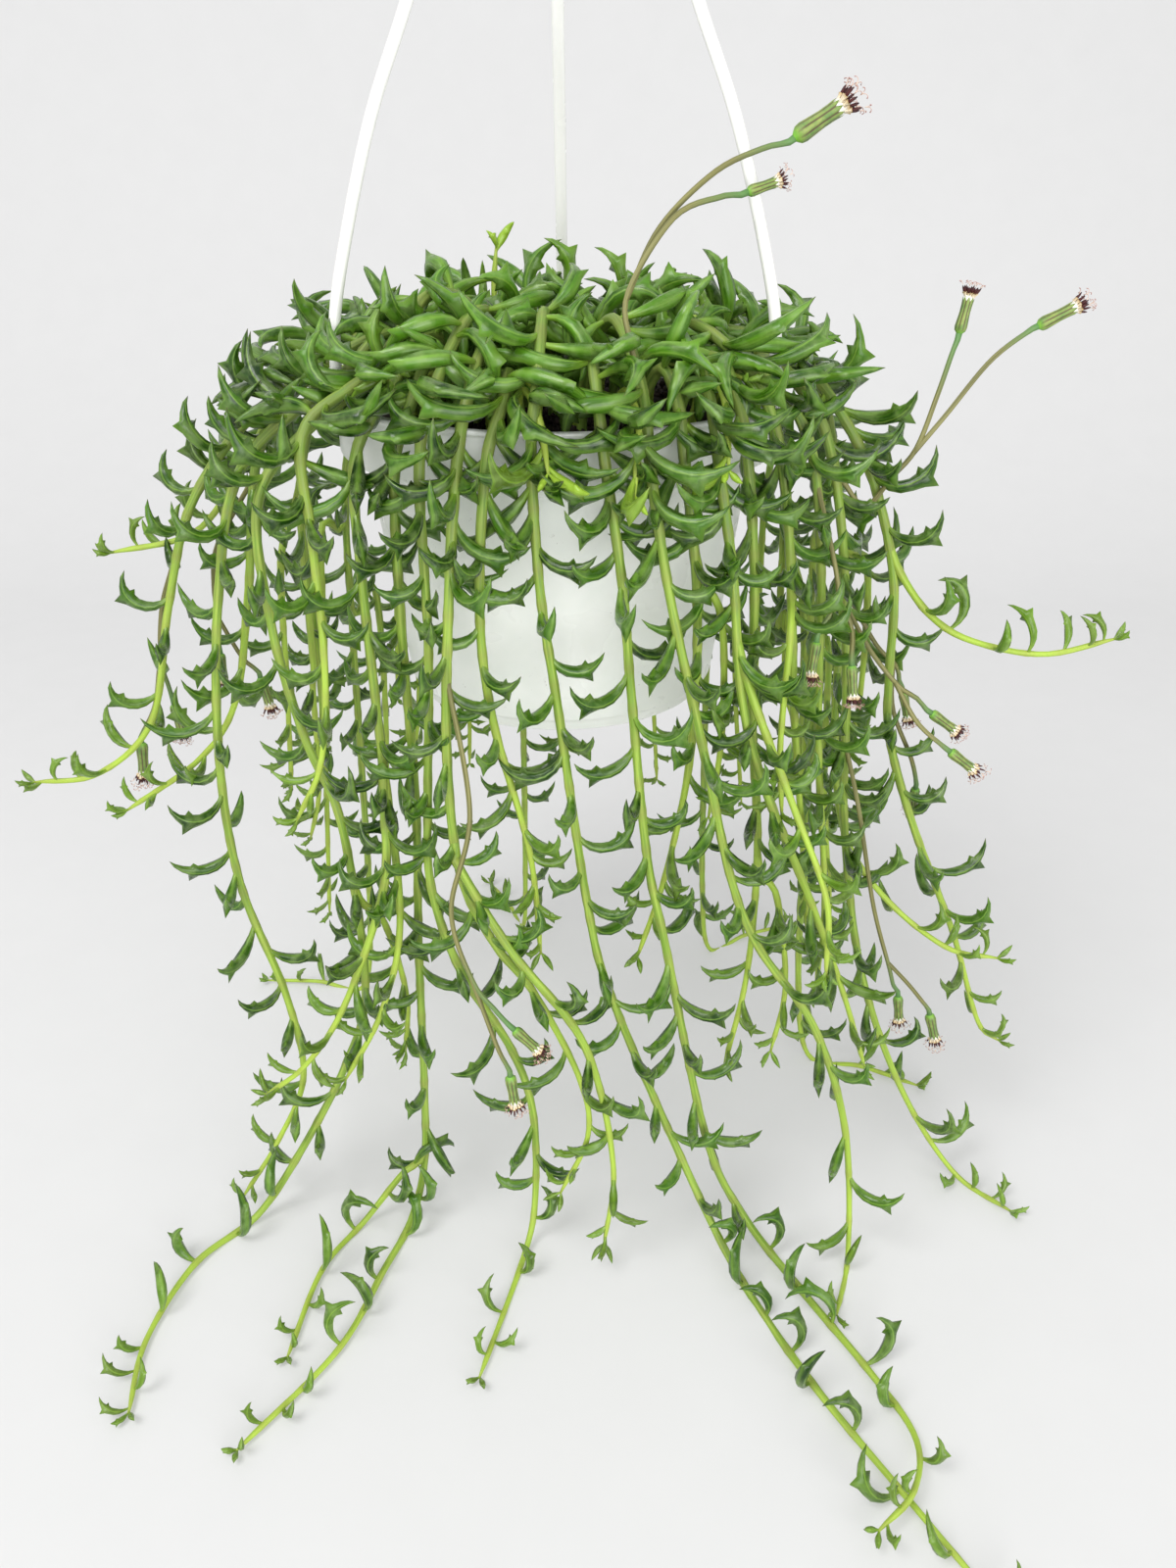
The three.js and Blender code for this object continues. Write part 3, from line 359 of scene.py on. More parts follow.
def pot_plastic():
    sides = {"patch": 26, "gloss": (0.24, 0.38), "wave": 12, "relief": 0.25, "strength": 0.5}
    inside = {"Subsurface_Weight": 0.12, "Subsurface_Scale": 0.003}
    pot, place, cloud = moulded("white polypropylene, moulded", **sides, **inside)
    tone = pot.add("MapRange", cloud, *NOISE_SPAN)
    white = pot.add("Mix", tone, "#f9faf7", "#f0f3ef")
    specks = pot.add("TexNoise", Vector=place, Scale=MM / 1.6, Detail=4.0, Roughness=0.7)
    specks = pot.add("MapRange", specks, 0.66, 0.72)
    patches = pot.add("TexNoise", Vector=place, Scale=MM / 18)
    patches = pot.add("MapRange", patches, 0.45, 0.7)
    soil = pot.add("Math", specks, patches)
    return pot.done(Base_Color=pot.add("Mix", soil, white, "#6d5f4c"))


def hanger_plastic():
    sides = {"patch": 9, "gloss": (0.18, 0.3), "wave": 4, "relief": 0.1, "strength": 0.4}
    inside = {"Subsurface_Weight": 0.1, "Subsurface_Scale": 0.002}
    hanger, _, cloud = moulded("white polypropylene, gloss moulded", **sides, **inside)
    return hanger.done(Base_Color=hanger.add("Mix", cloud, "#efefec", "#e6e6e2"))


POT_PLASTIC, HANGER_PLASTIC = pot_plastic(), hanger_plastic()
print("finishes:", POT_PLASTIC.name, "and", HANGER_PLASTIC.name)

# %% [markdown]
# ### Potting mix
# Damp peat and coir: nearly black, with brown fibres and crumbs of a few millimetres, and dull all over.
# The crumbs that cast a shadow are real ones, made with the mound. The finer ones are left to the relief
# here.

# %% Potting mix finish
def damp_peat():
    peat = Finish("potting mix, damp peat", IOR=1.45)
    place = peat.add("TexCoord")
    crumb = peat.add("TexNoise", Vector=place, Scale=MM / 2.2, Detail=6.0, Roughness=0.7)
    tone = peat.add("MapRange", crumb, 0.35, 0.7)
    dark = peat.add("Mix", tone, "#17120f", "#3b2e24")
    fibre = peat.add("TexNoise", Vector=place, Scale=MM / 7, Detail=5.0, Roughness=0.8)
    fibre = peat.add("MapRange", fibre, 0.62, 0.72)
    return peat.done(
        Base_Color=peat.add("Mix", fibre, dark, "#5d4836"),
        Roughness=peat.add("MapRange", crumb, 0.3, 0.7, 0.75, 0.95),
        Normal=peat.add("Bump", Height=crumb, Distance=0.9 / MM),
    )


PEAT = damp_peat()
print("finish:", PEAT.name)

# %% [markdown]
# ### Leaf
# A leaf is smooth and waxy: dark green in the open, paler and yellower at its narrow root and on young
# shoots, with faint lines along it and a thin grey bloom. A texture in space would run across the leaves, so
# the streaks follow `strand`, three numbers that each point carries: two go round the leaf, and one along it.
# One unit of it is a leaf's half width of 2.45 mm across and 19 mm along, so a scale of 1.9 makes streaks
# 1.3 mm wide and 10 mm long. The other marks say how far along its leaf a point is, and the leaf's tint,
# youth and place. The tint differs at random, and in the crown it is also painted shade, darker the lower
# the leaf stands.

# %% Leaf finish
def leaf_wax():
    inside = {"Subsurface_Weight": 0.06, "Subsurface_Radius": (0.5, 1.0, 0.25), "Subsurface_Scale": 0.002}
    leaf = Finish("succulent leaf, waxy", IOR=1.43, **inside)
    names = ("share", "tint", "young", "crown")
    share, tint, young, crown = (leaf.add("Attribute", attribute_name=name) for name in names)
    strand = leaf.add("Attribute", attribute_name="strand", give="Vector")
    streak = leaf.add("TexNoise", Vector=strand, Scale=1.9, Detail=3.0, Roughness=0.5)
    # tint is random tone, and in the crown also painted shade: the low crown leaves get the dark end.
    tone = leaf.add("Math", leaf.add("MapRange", streak, *NOISE_SPAN, -0.35, 0.3), tint, operation="ADD")
    trailing = leaf.add("Mix", tone, "#173602", "#39630a")
    standing = leaf.add("Mix", tone, "#102f02", "#50801a")
    green = leaf.add("Mix", crown, trailing, standing)
    place = leaf.add("TexCoord")
    bloom = leaf.add("TexNoise", Vector=place, Scale=MM / 5)
    round_it = leaf.add("SeparateXYZ", strand, give="X")
    ridge = leaf.add("Math", round_it, operation="ABSOLUTE")
    layers = {
        "#92ac66": leaf.add("MapRange", bloom, 0.42, 0.65, 0.0, 0.3),   # grey bloom, in patches
        "#7ea63c": leaf.add("MapRange", ridge, 0.7, 1.0, 0.0, 0.4),     # the two ridges
        "#88ae44": leaf.add("MapRange", ridge, 0.18, 0.04, 0.0, 0.45),  # a line along each flat side
        "#8fae3c": leaf.add("MapRange", share, 0.25, 0.0, 0.0, 0.7),    # the root
        "#9abb3a": leaf.add("Math", young, 0.8),                       # young leaves
        "#5b4a35": leaf.add("MapRange", share, 0.94, 1.0, 0.0, 0.5),    # the dry point
    }
    for over, amount in layers.items():
        green = leaf.add("Mix", amount, green, over)
    return leaf.done(
        Base_Color=green,
        Roughness=leaf.add("MapRange", streak, 0.3, 0.7, 0.22, 0.36),
        Normal=leaf.add("Bump", Height=streak, Distance=0.3 / MM, Strength=0.7),
    )


LEAF = leaf_wax()
print("finish:", LEAF.name)

# %% [markdown]
# ### Stem
# Stems are ribbed lengthwise and yellow-green, duller where they are old, near the rim, and a little brown
# where leaves join. They are rougher than the leaves, which sets them apart under the same light. On a stem
# one unit of `strand` is 1.5 mm across and 40 mm along, so the ribs are 0.9 mm wide and 25 mm long.

# %% Stem finish
def stem_bark():
    inside = {"Subsurface_Weight": 0.1, "Subsurface_Radius": (0.6, 1.0, 0.3), "Subsurface_Scale": 0.0015}
    bark = Finish("succulent stem, ribbed", IOR=1.42, **inside)
    names = ("crown", "young", "share")
    crown, young, joint = (bark.add("Attribute", attribute_name=name) for name in names)
    strand = bark.add("Attribute", attribute_name="strand", give="Vector")
    rib = bark.add("TexNoise", Vector=strand, Scale=1.6, Detail=2.0, Roughness=0.5)
    tone = bark.add("MapRange", rib, *NOISE_SPAN)
    green = bark.add("Mix", tone, "#6f9030", "#98b249")
    old = bark.add("Mix", tone, "#55782c", "#7c9a43")
    for over, mark, most in ((old, crown, 0.8), ("#a9c546", young, 0.75), ("#86644c", joint, 0.25)):
        amount = bark.add("Math", mark, most)
        green = bark.add("Mix", amount, green, over)
    return bark.done(
        Base_Color=green,
        Roughness=bark.add("MapRange", rib, 0.3, 0.7, 0.42, 0.58),
        Normal=bark.add("Bump", Height=rib, Distance=0.3 / MM),
    )


BARK = stem_bark()
print("finish:", BARK.name)

# %% [markdown]
# ### Flower finishes
# The stalk is thin and olive-brown, and greener near its head. The bracts round a head are green with brown
# stripes between them, and bright green at the foot. Florets are cream, their anthers nearly black maroon,
# and their styles rose. All are only a millimetre or two thick, so it is enough that a colour runs along
# each.

# %% Flower finishes
def stalk_olive():
    stalk = Finish("flower stalk, olive", IOR=1.42)
    share = stalk.add("Attribute", attribute_name="share")
    strand = stalk.add("Attribute", attribute_name="strand", give="Vector")
    rib = stalk.add("TexNoise", Vector=strand, Scale=1.6, Detail=2.0, Roughness=0.5)
    tone = stalk.add("MapRange", rib, *NOISE_SPAN)
    brown = stalk.add("Mix", tone, "#5f5f34", "#858250")
    near_head = stalk.add("MapRange", share, 0.72, 1.0)
    green = stalk.add("Mix", near_head, brown, "#58844a")
    relief = stalk.add("Bump", Height=rib, Distance=0.2 / MM)
    return stalk.done(Base_Color=green, Roughness=0.5, Normal=relief)


def bract_green():
    inside = {"Subsurface_Weight": 0.08, "Subsurface_Radius": (0.5, 1.0, 0.3), "Subsurface_Scale": 0.001}
    bract = Finish("bracts, striped green", IOR=1.42, **inside)
    share, tint = (bract.add("Attribute", attribute_name=name) for name in ("share", "tint"))
    place = bract.add("TexCoord")
    cloud = bract.add("TexNoise", Vector=place, Scale=MM / 2.5)
    tone = bract.add("MapRange", cloud, *NOISE_SPAN)
    grey = bract.add("Mix", tone, "#5f7f3f", "#88984f")
    foot = bract.add("MapRange", share, 0.25, 0.0)
    green = bract.add("Mix", foot, grey, "#78b63c")
    stripe = bract.add("Math", tint, bract.add("MapRange", share, 0.1, 0.35))
    return bract.done(Base_Color=bract.add("Mix", stripe, green, "#4b2f2a"), Roughness=0.45)


def petal(name, foot, point, rough):
    """A thin flower part whose colour runs from its foot to its point."""
    thin = Finish(name, IOR=1.4)
    place = thin.add("TexCoord")
    cloud = thin.add("TexNoise", Vector=place, Scale=MM / 0.8)
    share = thin.add("Attribute", attribute_name="share")
    tone = thin.add("Math", share, thin.add("MapRange", cloud, *NOISE_SPAN, -0.2, 0.2), operation="ADD")
    run = thin.add("Mix", tone, foot, point)
    relief = thin.add("Bump", Height=cloud, Distance=0.1 / MM)
    return thin.done(Base_Color=run, Roughness=rough, Normal=relief)


STALK, BRACT = stalk_olive(), bract_green()
PAPPUS = petal("pappus, silky white", "#e9ead9", "#f4f2ea", 0.7)
COROLLA = petal("corolla, cream", "#efe8d8", "#cbb080", 0.6)
ANTHER = petal("anthers, maroon", "#5b2520", "#2c1217", 0.5)
STYLE = petal("styles, rose", "#e6cfbd", "#a8746c", 0.6)
print("finishes so far:", len(bpy.data.materials))


# %% [markdown]
# ## Pot
# One thin-walled moulding: a flat base with drain holes, a low foot, a tapering body, and a vertical collar
# under a small lip. It is turned from its own outline, inside and out, because the wall's thickness changes
# from foot to lip, and a Solidify modifier would keep it even. Each edge has the soft radius of its mould.
# Three ears stand out from the lip and take the hanger's pegs. The drain holes are cut last, by a Boolean.

# %% Pot
EAR_CENTRE = 78.5
EAR_AZIMUTHS = (60, 180, 300)
COLLAR_WALL = 74.6
DRAIN_HOLES, DRAIN_CIRCLE, DRAIN_RADIUS = 5, 30, 4


def ear(azimuth):
    """A washer with soft edges. It ends in the collar's wall, where its points are held back."""
    profile = rounded([(1.9, -1.3), (1.9, -2.6), (5.2, -2.6), (5.2, 0), (1.9, 0), (1.9, -1.3)], 0.5)
    rings = lathe(profile, 40) + around(azimuth, EAR_CENTRE, 0)
    reach = np.linalg.norm(rings[..., :2], axis=-1, keepdims=True)
    rings[..., :2] *= np.maximum(reach, COLLAR_WALL) / reach
    return rings


def carve(piece, cutters):
    """Takes the cutters' solid out of the piece."""
    tool = put("cutters", cutters.mesh("cutters"))
    cut = piece.modifiers.new("drain holes", "BOOLEAN")
    cut.object, cut.operation, cut.solver = tool, "DIFFERENCE", "EXACT"
    bpy.context.view_layer.update()
    shaped = bpy.data.meshes.new_from_object(piece.evaluated_get(bpy.context.evaluated_depsgraph_get()))
    piece.modifiers.clear()
    piece.data = shaped
    bpy.data.objects.remove(tool)


def add_pot():
    skin = Skin()
    profile = [
        (0.4, -105), (53.5, -105), (54.6, -101), (56, -100.4), (66.8, -20.5), (75, -18.5), (75.2, -1.8),
        (77, -1.4), (77, 0), (73.4, 0), (73.2, -17.3), (65.2, -19), (53, -103), (0.4, -103),
    ]
    skin.rings(lathe(rounded(profile, 0.9), 144))
    for azimuth in EAR_AZIMUTHS:
        skin.rings(ear(azimuth), caps=False)
    pot = add_node("pot_shell", skin, [POT_PLASTIC], "white_pot", "pot")
    cutters = Skin()
    for i in range(DRAIN_HOLES):
        hole = lathe([(DRAIN_RADIUS, -107), (DRAIN_RADIUS, -101)], 40)
        cutters.rings(hole + around(360 / DRAIN_HOLES * i, DRAIN_CIRCLE, 0))
    carve(pot, cutters)
    return pot


pot = add_pot()
print("pot faces:", len(pot.data.polygons))


# %% [markdown]
# ## Hanger
# One moulding again: three slightly oval arms that bow in from the ears to a small hub, with a hook on top.
# Each arm ends in a flared foot, and a barbed peg goes on through the ear. Arms and hook are tubes along a
# path, and hub and feet are turned. They run into each other, as what is melted into one piece does.

# %% Hanger
ARM_BOW = [(78.5, 9), (77, 27), (71, 50), (60.5, 81), (47.5, 109), (30, 150), (13, 192), (3.5, 219)]
ARM_RADIUS = 2.15
HOOK_BEND, HOOK_CENTRE, HOOK_RADIUS = 12, 255.5, 2.5


def arm_bow(azimuth):
    return Path([around(azimuth, r, z) for r, z in ARM_BOW], 0.5)


def add_hook(skin):
    """A tube round a bend, whose end is a half ball: its radius goes by sqrt(1 - t^2) over the last 2 mm."""
    turns = np.radians(np.arange(-45, 196, 30))
    bend = [(HOOK_BEND * math.cos(turn), 0, HOOK_CENTRE + HOOK_BEND * math.sin(turn)) for turn in turns]
    hook = Path([(0, 0, 221), (0, 0, 234), *bend, (-14, 0, 247.7)], 0.5)

    def blunt(arcs, centre):
        past = ((arcs - hook.length + 2) / 2.05).clip(0)
        return HOOK_RADIUS * np.sqrt(np.clip(1 - past**2, 0, 1))

    skin.rings(tube(hook, blunt, sides=20, pitch=1.0, first=(0, 1, 0))[0])


def add_hanger():
    skin = Skin()
    foot = [
        (0.3, 12), (1.9, 12), (3.0, 9.6), (4.2, 8.2), (3.1, 6.6), (2.5, 4), (2.7, 1.5), (3.1, 0.35),
        (1.4, 0.35), (1.4, -2.95), (2.4, -2.95), (0.84, -6.4), (0.3, -6.5),
    ]
    even = lambda arcs, centre: ARM_RADIUS + 0 * arcs
    for azimuth in EAR_AZIMUTHS:
        sideways = around(azimuth + 90, 1, 0)
        skin.rings(tube(arm_bow(azimuth), even, sides=16, first=sideways, oval=0.85)[0])
        skin.rings(lathe(rounded(foot, 0.3, 3)[::-1], 28) + around(azimuth, EAR_CENTRE, 0))
    hub = [(0.3, 210), (4.5, 210), (6.5, 214), (5.5, 226), (0.3, 226)]
    skin.rings(lathe(rounded(hub, 1.2), 48))
    add_hook(skin)
    return add_node("hanger_moulding", skin, [HANGER_PLASTIC], "white_hanger", "hanger")


hanger = add_hanger()
print("hanger faces:", len(hanger.data.polygons))


# %% [markdown]
# ## Potting mix
# The mix fills the pot to a few millimetres under the rim. Its top is a low mound with a rough surface, and
# loose crumbs lie on it. Sculpting would do it too, but the stems must know how high the mound is, so it
# has a formula.

# %% Potting mix
MIX_EDGE = 72.4
CRUMBS = 620


def mix_height(r):
    """The mound's height above the rim at a distance from the axis."""
    return np.interp(r, [0, 50, MIX_EDGE], [-4.0, -5.0, -8.0])


def crumbs():
    """Six-sided balls with lumps, spread evenly over the mound and sunk a little into it."""
    dice = np.random.default_rng(5)
    radius, azimuth = 70 * np.sqrt(dice.uniform(0, 1, CRUMBS)), dice.uniform(0, 360, CRUMBS)
    size = dice.uniform(0.5, 1.9, CRUMBS)
    centre = around(azimuth, radius, mix_height(radius) + 0.3 * size).T
    ball = lathe([(0.1, -0.9), (0.8, -0.5), (1, 0.1), (0.6, 0.7), (0.1, 0.9)], 6)
    lumpy = ball * (1 + 0.35 * dice.normal(size=(CRUMBS, *ball.shape[:2], 1)))
    flattened = lumpy * dice.uniform(0.6, 1.3, (CRUMBS, 1, 1, 3))
    return centre[:, None, None] + size[:, None, None, None] * flattened


def add_mix():
    """The mound's top is its height, plus grain of 9 mm and of 3 mm that dies out at the pot's wall."""
    skin = Skin()
    reach = np.linspace(0.5, MIX_EDGE, 70)
    top = lathe(np.stack([reach, mix_height(reach)], -1), 160)
    rough = 1.1 * grain(top, 9, 1) + 0.5 * grain(top, 3, 2) - 0.4
    top[..., 2] += rough * smooth(MIX_EDGE, 66, reach)[:, None]
    below = [(0.5, -102.65), (52.3, -102.65), (64.5, -20), (64.5, -18.6)]
    below += [(MIX_EDGE, -16.65), (MIX_EDGE, -8.1)]
    skin.rings(np.concatenate([lathe(below, 160), top[::-1]]))
    skin.rings(crumbs())
    return add_node("mix_mound", skin, [PEAT], "potting_mix", "potting_mix")


mound = add_mix()
print("mix faces:", len(mound.data.polygons))


# %% [markdown]
# ## Leafy stems
# Each stem stands in the mix, arches over the rim and hangs, and the longest lie on the ground. A stem is
# given by its azimuth at the rim, the distance of its root from the axis, how high it arches, and the
# points it passes. A rule alone would hang every stem alike, so the stems that can be seen are listed one
# by one.

# %% Where the stems run
OVER_RIM = 81.0
Stem = namedtuple("Stem", "az root lift way branches", defaults=[()])
Branch = namedtuple("Branch", "at way")
STEMS = [
    Stem(-87, 40, 16, [(-93, -11, -3), (-108, -20, -26), (-124, -26, -44), (-151, -32, -49)]),
    Stem(-77, 57, 14, [(-101, -28, -7), (-120, -37, -32), (-131, -42, -65), (-142, -46, -105),
        (-163, -49, -124), (-186, -50, -127)]),
    Stem(-67.5, 20, 20, [(-94, -40, -12), (-103, -44, -60), (-112, -46, -98), (-127, -48, -119),
        (-155, -51, -138)]),
    Stem(-53, 42, 22, [(-96, -54, -14), (-108, -59, -54), (-115, -62, -110), (-114, -64, -160),
        (-102, -69, -205), (-99, -71, -243), (-111, -75, -272), (-127, -80, -297.5)]),
    Stem(-46.5, 57, 18, [(-88, -66, -18), (-90, -68, -60), (-83, -71, -99), (-73, -75, -130),
        (-70, -78, -195), (-80, -79, -230), (-100, -81, -270), (-119, -90, -297), (-137, -112, -298),
        (-145, -145, -298), (-142, -173, -298)], [
        Branch(236, [(-62, -74, -170), (-57, -70, -205), (-60, -66, -235)]),
    ]),
    Stem(-40.5, 22, 34, [(-72, -74, 0), (-71, -82, -28), (-70, -86, -55), (-71, -88, -80),
        (-75, -89, -102), (-84, -90, -120)]),
    Stem(-35, 44, 24, [(-58, -73, -8), (-58, -79, -40), (-56, -82, -100), (-54, -86, -160),
        (-62, -92, -195), (-77, -95, -224)], [
        Branch(190, [(-58, -90, -146), (-74, -95, -190), (-90, -96, -216), (-106, -96, -230)]),
    ]),
    Stem(-29.5, 58, 18, [(-46, -77, -10), (-47, -80, -60), (-47, -78, -120), (-50, -77, -180),
        (-52, -77, -243), (-54, -79, -280), (-59, -92, -298), (-66, -115, -298), (-77, -149, -298),
        (-103, -186, -298)], [
        Branch(340, [(-62, -84, -281), (-77, -92, -298), (-89, -115, -298), (-94, -152, -298)]),
    ]),
    Stem(-24, 24, 30, [(-38, -83, -8), (-38, -88, -60), (-41, -90, -110), (-42, -91, -143),
        (-34, -92, -177), (-17, -94, -211), (-10, -95, -240), (-10, -97, -280), (-14, -108, -298),
        (-27, -160, -298)]),
    Stem(-17, 46, 22, [(-27, -85, -6), (-30, -95, -40), (-33, -99, -90), (-31, -100, -133),
        (-21, -101, -160), (-8, -102, -180), (7, -104, -215), (10, -106, -240), (0, -112, -262)], [
        Branch(205, [(-31, -104, -128), (-15, -108, -158), (9, -110, -196), (19, -110, -250),
            (16, -112, -288)]),
    ]),
    Stem(-10, 58, 16, [(-19, -86, -8), (-22, -90, -50), (-19, -91, -85), (-9, -92, -130), (-6, -93, -170)]),
    Stem(-3, 26, 30, [(-6, -85, -4), (-4, -91, -42), (1, -93, -80), (10, -95, -150), (18, -97, -185),
        (43, -99, -254), (66, -119, -297), (86, -162, -298), (110, -203, -298), (134, -243, -298)]),
    Stem(9, 52, 20, [(15, -85, -8), (20, -91, -40), (23, -93, -73), (29, -94, -130), (36, -95, -165),
        (54, -95, -253), (70, -99, -289), (88, -124, -298), (106, -157, -298), (116, -182, -297),
        (110, -203, -292), (97, -214, -294)]),
    Stem(18, 28, 28, [(28, -85, -10), (34, -92, -44), (46, -95, -94), (57, -95, -140), (68, -95, -167),
        (89, -95, -200), (104, -97, -246), (108, -108, -296), (99, -135, -298)]),
    Stem(26, 57, 16, [(38, -77, -8), (43, -81, -50), (43, -81, -100), (36, -83, -145), (27, -87, -176)], [
        Branch(96, [(51, -79, -56), (53, -78, -95), (50, -79, -125)]),
    ]),
    Stem(33, 40, 24, [(48, -77, -10), (53, -84, -40), (57, -87, -75), (65, -88, -105), (85, -85, -153),
        (101, -80, -195), (114, -76, -234)], [
        Branch(152, [(75, -98, -112), (86, -106, -140), (88, -108, -168)]),
    ]),
    Stem(41, 58, 18, [(57, -68, -8), (61, -72, -45), (63, -72, -90), (68, -73, -140), (67, -77, -190),
        (60, -84, -227)], [
        Branch(210, [(76, -74, -160), (81, -78, -195), (77, -82, -222)]),
    ]),
    Stem(47, 24, 25, [(68, -62, -10), (73, -66, -45), (78, -67, -95), (84, -69, -140), (88, -74, -176)], [
        Branch(150, [(72, -80, -62), (71, -84, -95), (73, -86, -120)]),
    ]),
    Stem(53.5, 45, 18, [(78, -52, -8), (84, -57, -45), (88, -59, -105), (94, -68, -165), (93, -74, -200)]),
    Stem(66.5, 58, 14, [(85, -41, -8), (93, -47, -45), (98, -51, -95), (101, -55, -140),
        (112, -60, -200), (133, -62, -256), (158, -68, -296), (176, -87, -298)]),
    Stem(74, 28, 20, [(90, -31, -2), (103, -37, -25), (112, -41, -57), (114, -42, -91), (117, -42, -114),
        (130, -42, -150), (151, -42, -197), (167, -42, -240), (177, -42, -250)], [
        Branch(150, [(124, -46, -66), (137, -51, -73), (160, -56, -76), (181, -60, -69)]),
    ]),
    Stem(82, 46, 15, [(90, -16, -8), (99, -22, -60), (99, -32, -110), (104, -42, -150), (118, -52, -172),
        (143, -58, -192), (163, -60, -196)], [
        Branch(120, [(109, -14, -60), (112, -12, -110), (110, -8, -150)]),
    ]),
]
print("stems laid out by hand:", len(STEMS))

# %% [markdown]
# The photograph doesn't show the back. Eight stems of the same kind are laid over its part of the rim by
# rule, with two branches each, and every other one reaches the ground.

# %% The stems of the back
BACK_STEMS = 8


def back_stem(i):
    """A stem that stands out further from the pot as it falls, and drifts sideways by its lean."""
    az = mix(96, 262, i / (BACK_STEMS - 1))
    reach = 94 + 8 * draw(i, 1)
    grounded = i % 2 == 0
    low = FLOOR_Z + 2 if grounded else mix(-150, -230, draw(i, 2))
    lean = 5 * (draw(i, 3) - 0.5)
    way = [
        around(az, 88, -8), around(az + lean, reach, -45), around(az + 1.6 * lean, reach + 3, -110),
        around(az + 2 * lean, reach + 5, 0.62 * low), around(az + 2.4 * lean, reach + 8, 0.86 * low),
        around(az + 3 * lean, reach + 16, low),
    ]
    if grounded:
        way += [around(az + 6 * lean, reach + 38, low), around(az + 10 * lean, reach + 62, low)]
    upper = [
        around(az + 8, reach + 4, -62), around(az + 9, reach + 7, -110),
        around(az + 9.5, reach + 10, -150 - 30 * draw(i, 6)),
    ]
    lower = [
        around(az - 8, reach + 5, -96), around(az - 9.5, reach + 8, -150),
        around(az - 10, reach + 16, -196 - 50 * draw(i, 8)),
    ]
    branches = [Branch(112 + 20 * draw(i, 5), upper), Branch(150 + 20 * draw(i, 7), lower)]
    return Stem(az, (56, 30, 48)[i % 3], (15, 22, 18)[i % 3], way, branches)


every_stem = [*STEMS, *(back_stem(i) for i in range(BACK_STEMS))]
print("stems:", len(every_stem))

# %% [markdown]
# A twig is a main stem, a branch or a short shoot: a path, how far up it the first leaf stands, how long
# its tip of small leaves is, and how fresh its green is. A main stem rises out of the mix and bends over
# the rim. A branch leaves its stem a little forwards, as it grew.

# %% The paths of stems and branches
Twig = namedtuple("Twig", "path first tip fresh")
FRESH, GROWN = 1.0, 0.3


def stem_twigs(stem):
    """The twig of a stem, from its root in the mix, and one twig for each branch."""
    az, root, lift = stem.az, stem.root, stem.lift
    start = [
        around(az, root, -20), around(az, root, -13), around(az, root, -6), around(az, root + 1, 1),
        around(az, root + 6, 0.55 * lift), around(az, (root + OVER_RIM + 6) / 2, lift),
        around(az, OVER_RIM, 0.35 * lift + 3),
    ]
    main = Path([*start, *stem.way])
    twigs = [Twig(main, 30, 60, GROWN)]
    for branch in stem.branches:
        ahead = mix(main.on(branch.at + 6), np.array(branch.way[0]), 0.25)
        twigs.append(Twig(Path([main.on(branch.at), ahead, *branch.way]), 10, 60, GROWN))
    return twigs


stems = [stem_twigs(stem) for stem in every_stem]
print("stems and branches:", sum(len(twigs) for twigs in stems))

# %% [markdown]
# The crown is thick with short upright shoots, too many to lay out one by one. They are spread over the mix
# like a sunflower's seeds, and each belongs to the stem nearest it. Four bright young shoots are given one
# by one.

# %% The shoots of the crown
CROWN_SHOOTS = 42
SEED_TURN = 137.5
YOUNG_SHOOTS = [
    (357, [(-10, -60, -14), (-11, -62, -3), (-9, -72, 11), (-4, -83, 7), (-1, -92, -8)]),
    (18, [(16, -58, -14), (17, -60, -3), (20, -72, 11), (24, -85, 5), (23, -93, -14)]),
    (33, [(40, -50, -14), (41, -52, -3), (45, -63, 13), (49, -76, 8), (50, -84, -9)]),
    (343, [(-18, -2, -14), (-19, -2, -3), (-21, 0, 16), (-21, 2, 32), (-20, 3, 43)]),
]


def crown_shoot(i):
    """A short path that rises from the mix and leans over to a side. It is taller near the pot's axis."""
    az, root = SEED_TURN * i, 62 * math.sqrt((i + 0.5) / CROWN_SHOOTS)
    tall, reach = mix(16, 30, draw(i, 301)) * mix(1, 0.6, root / 62), mix(12, 26, draw(i, 302))
    onward = around(az + 80 * (draw(i, 303) - 0.5), 1, 0)
    top = around(az, root + 2, 0.6 * tall)
    return az % 360, [
        around(az, root, -14), around(az, root, -3), top, top + 0.5 * reach * onward + (0, 0, 0.35 * tall),
        top + reach * onward + (0, 0, 0.3 * tall),
    ]


azimuths = np.array([stem.az % 360 for stem in every_stem])
shoots = [(*crown_shoot(i), 14, GROWN) for i in range(CROWN_SHOOTS)]
shoots += [(azimuth, way, 8, FRESH) for azimuth, way in YOUNG_SHOOTS]
for azimuth, way, tip, fresh in shoots:
    apart = np.abs((azimuths - azimuth + 180) % 360 - 180)
    stems[int(np.argmin(apart))].append(Twig(Path(way), 18, tip, fresh))
print("with the shoots:", sum(len(twigs) for twigs in stems))

# %% [markdown]
# ### Leaves
# A leaf is an arc of a circle in the plane of two directions: out of the stem, and up to its hollow side.
# Leaves follow each other round the stem by the golden ratio, with some chance added. On a hanging stem
# they start down along it and curl up. Leaves are long and close together in the crown, and small and
# closer still at a growing tip, which ends in a pair of the smallest. In the crown the low leaves are painted
# darkest, which is painted shade from the leaves above them. Instances scattered by a node group would be
# quicker to make, but they would all have one shape, and some would stand in the pot.

# %% Which way a leaf grows
GOLDEN = 0.618034
CROWN_FOOT, CROWN_TOP = -45, 5


def stem_sides(point, tangent):
    """Two directions square to the stem: one up and away from the pot's axis, and the one beside it."""
    radial = unit(point * (1, 1, 0) + (1e-9, 0, 0))
    reference = across((0, 0, 1) + 0.5 * radial, tangent)
    return reference, np.cross(tangent, reference)


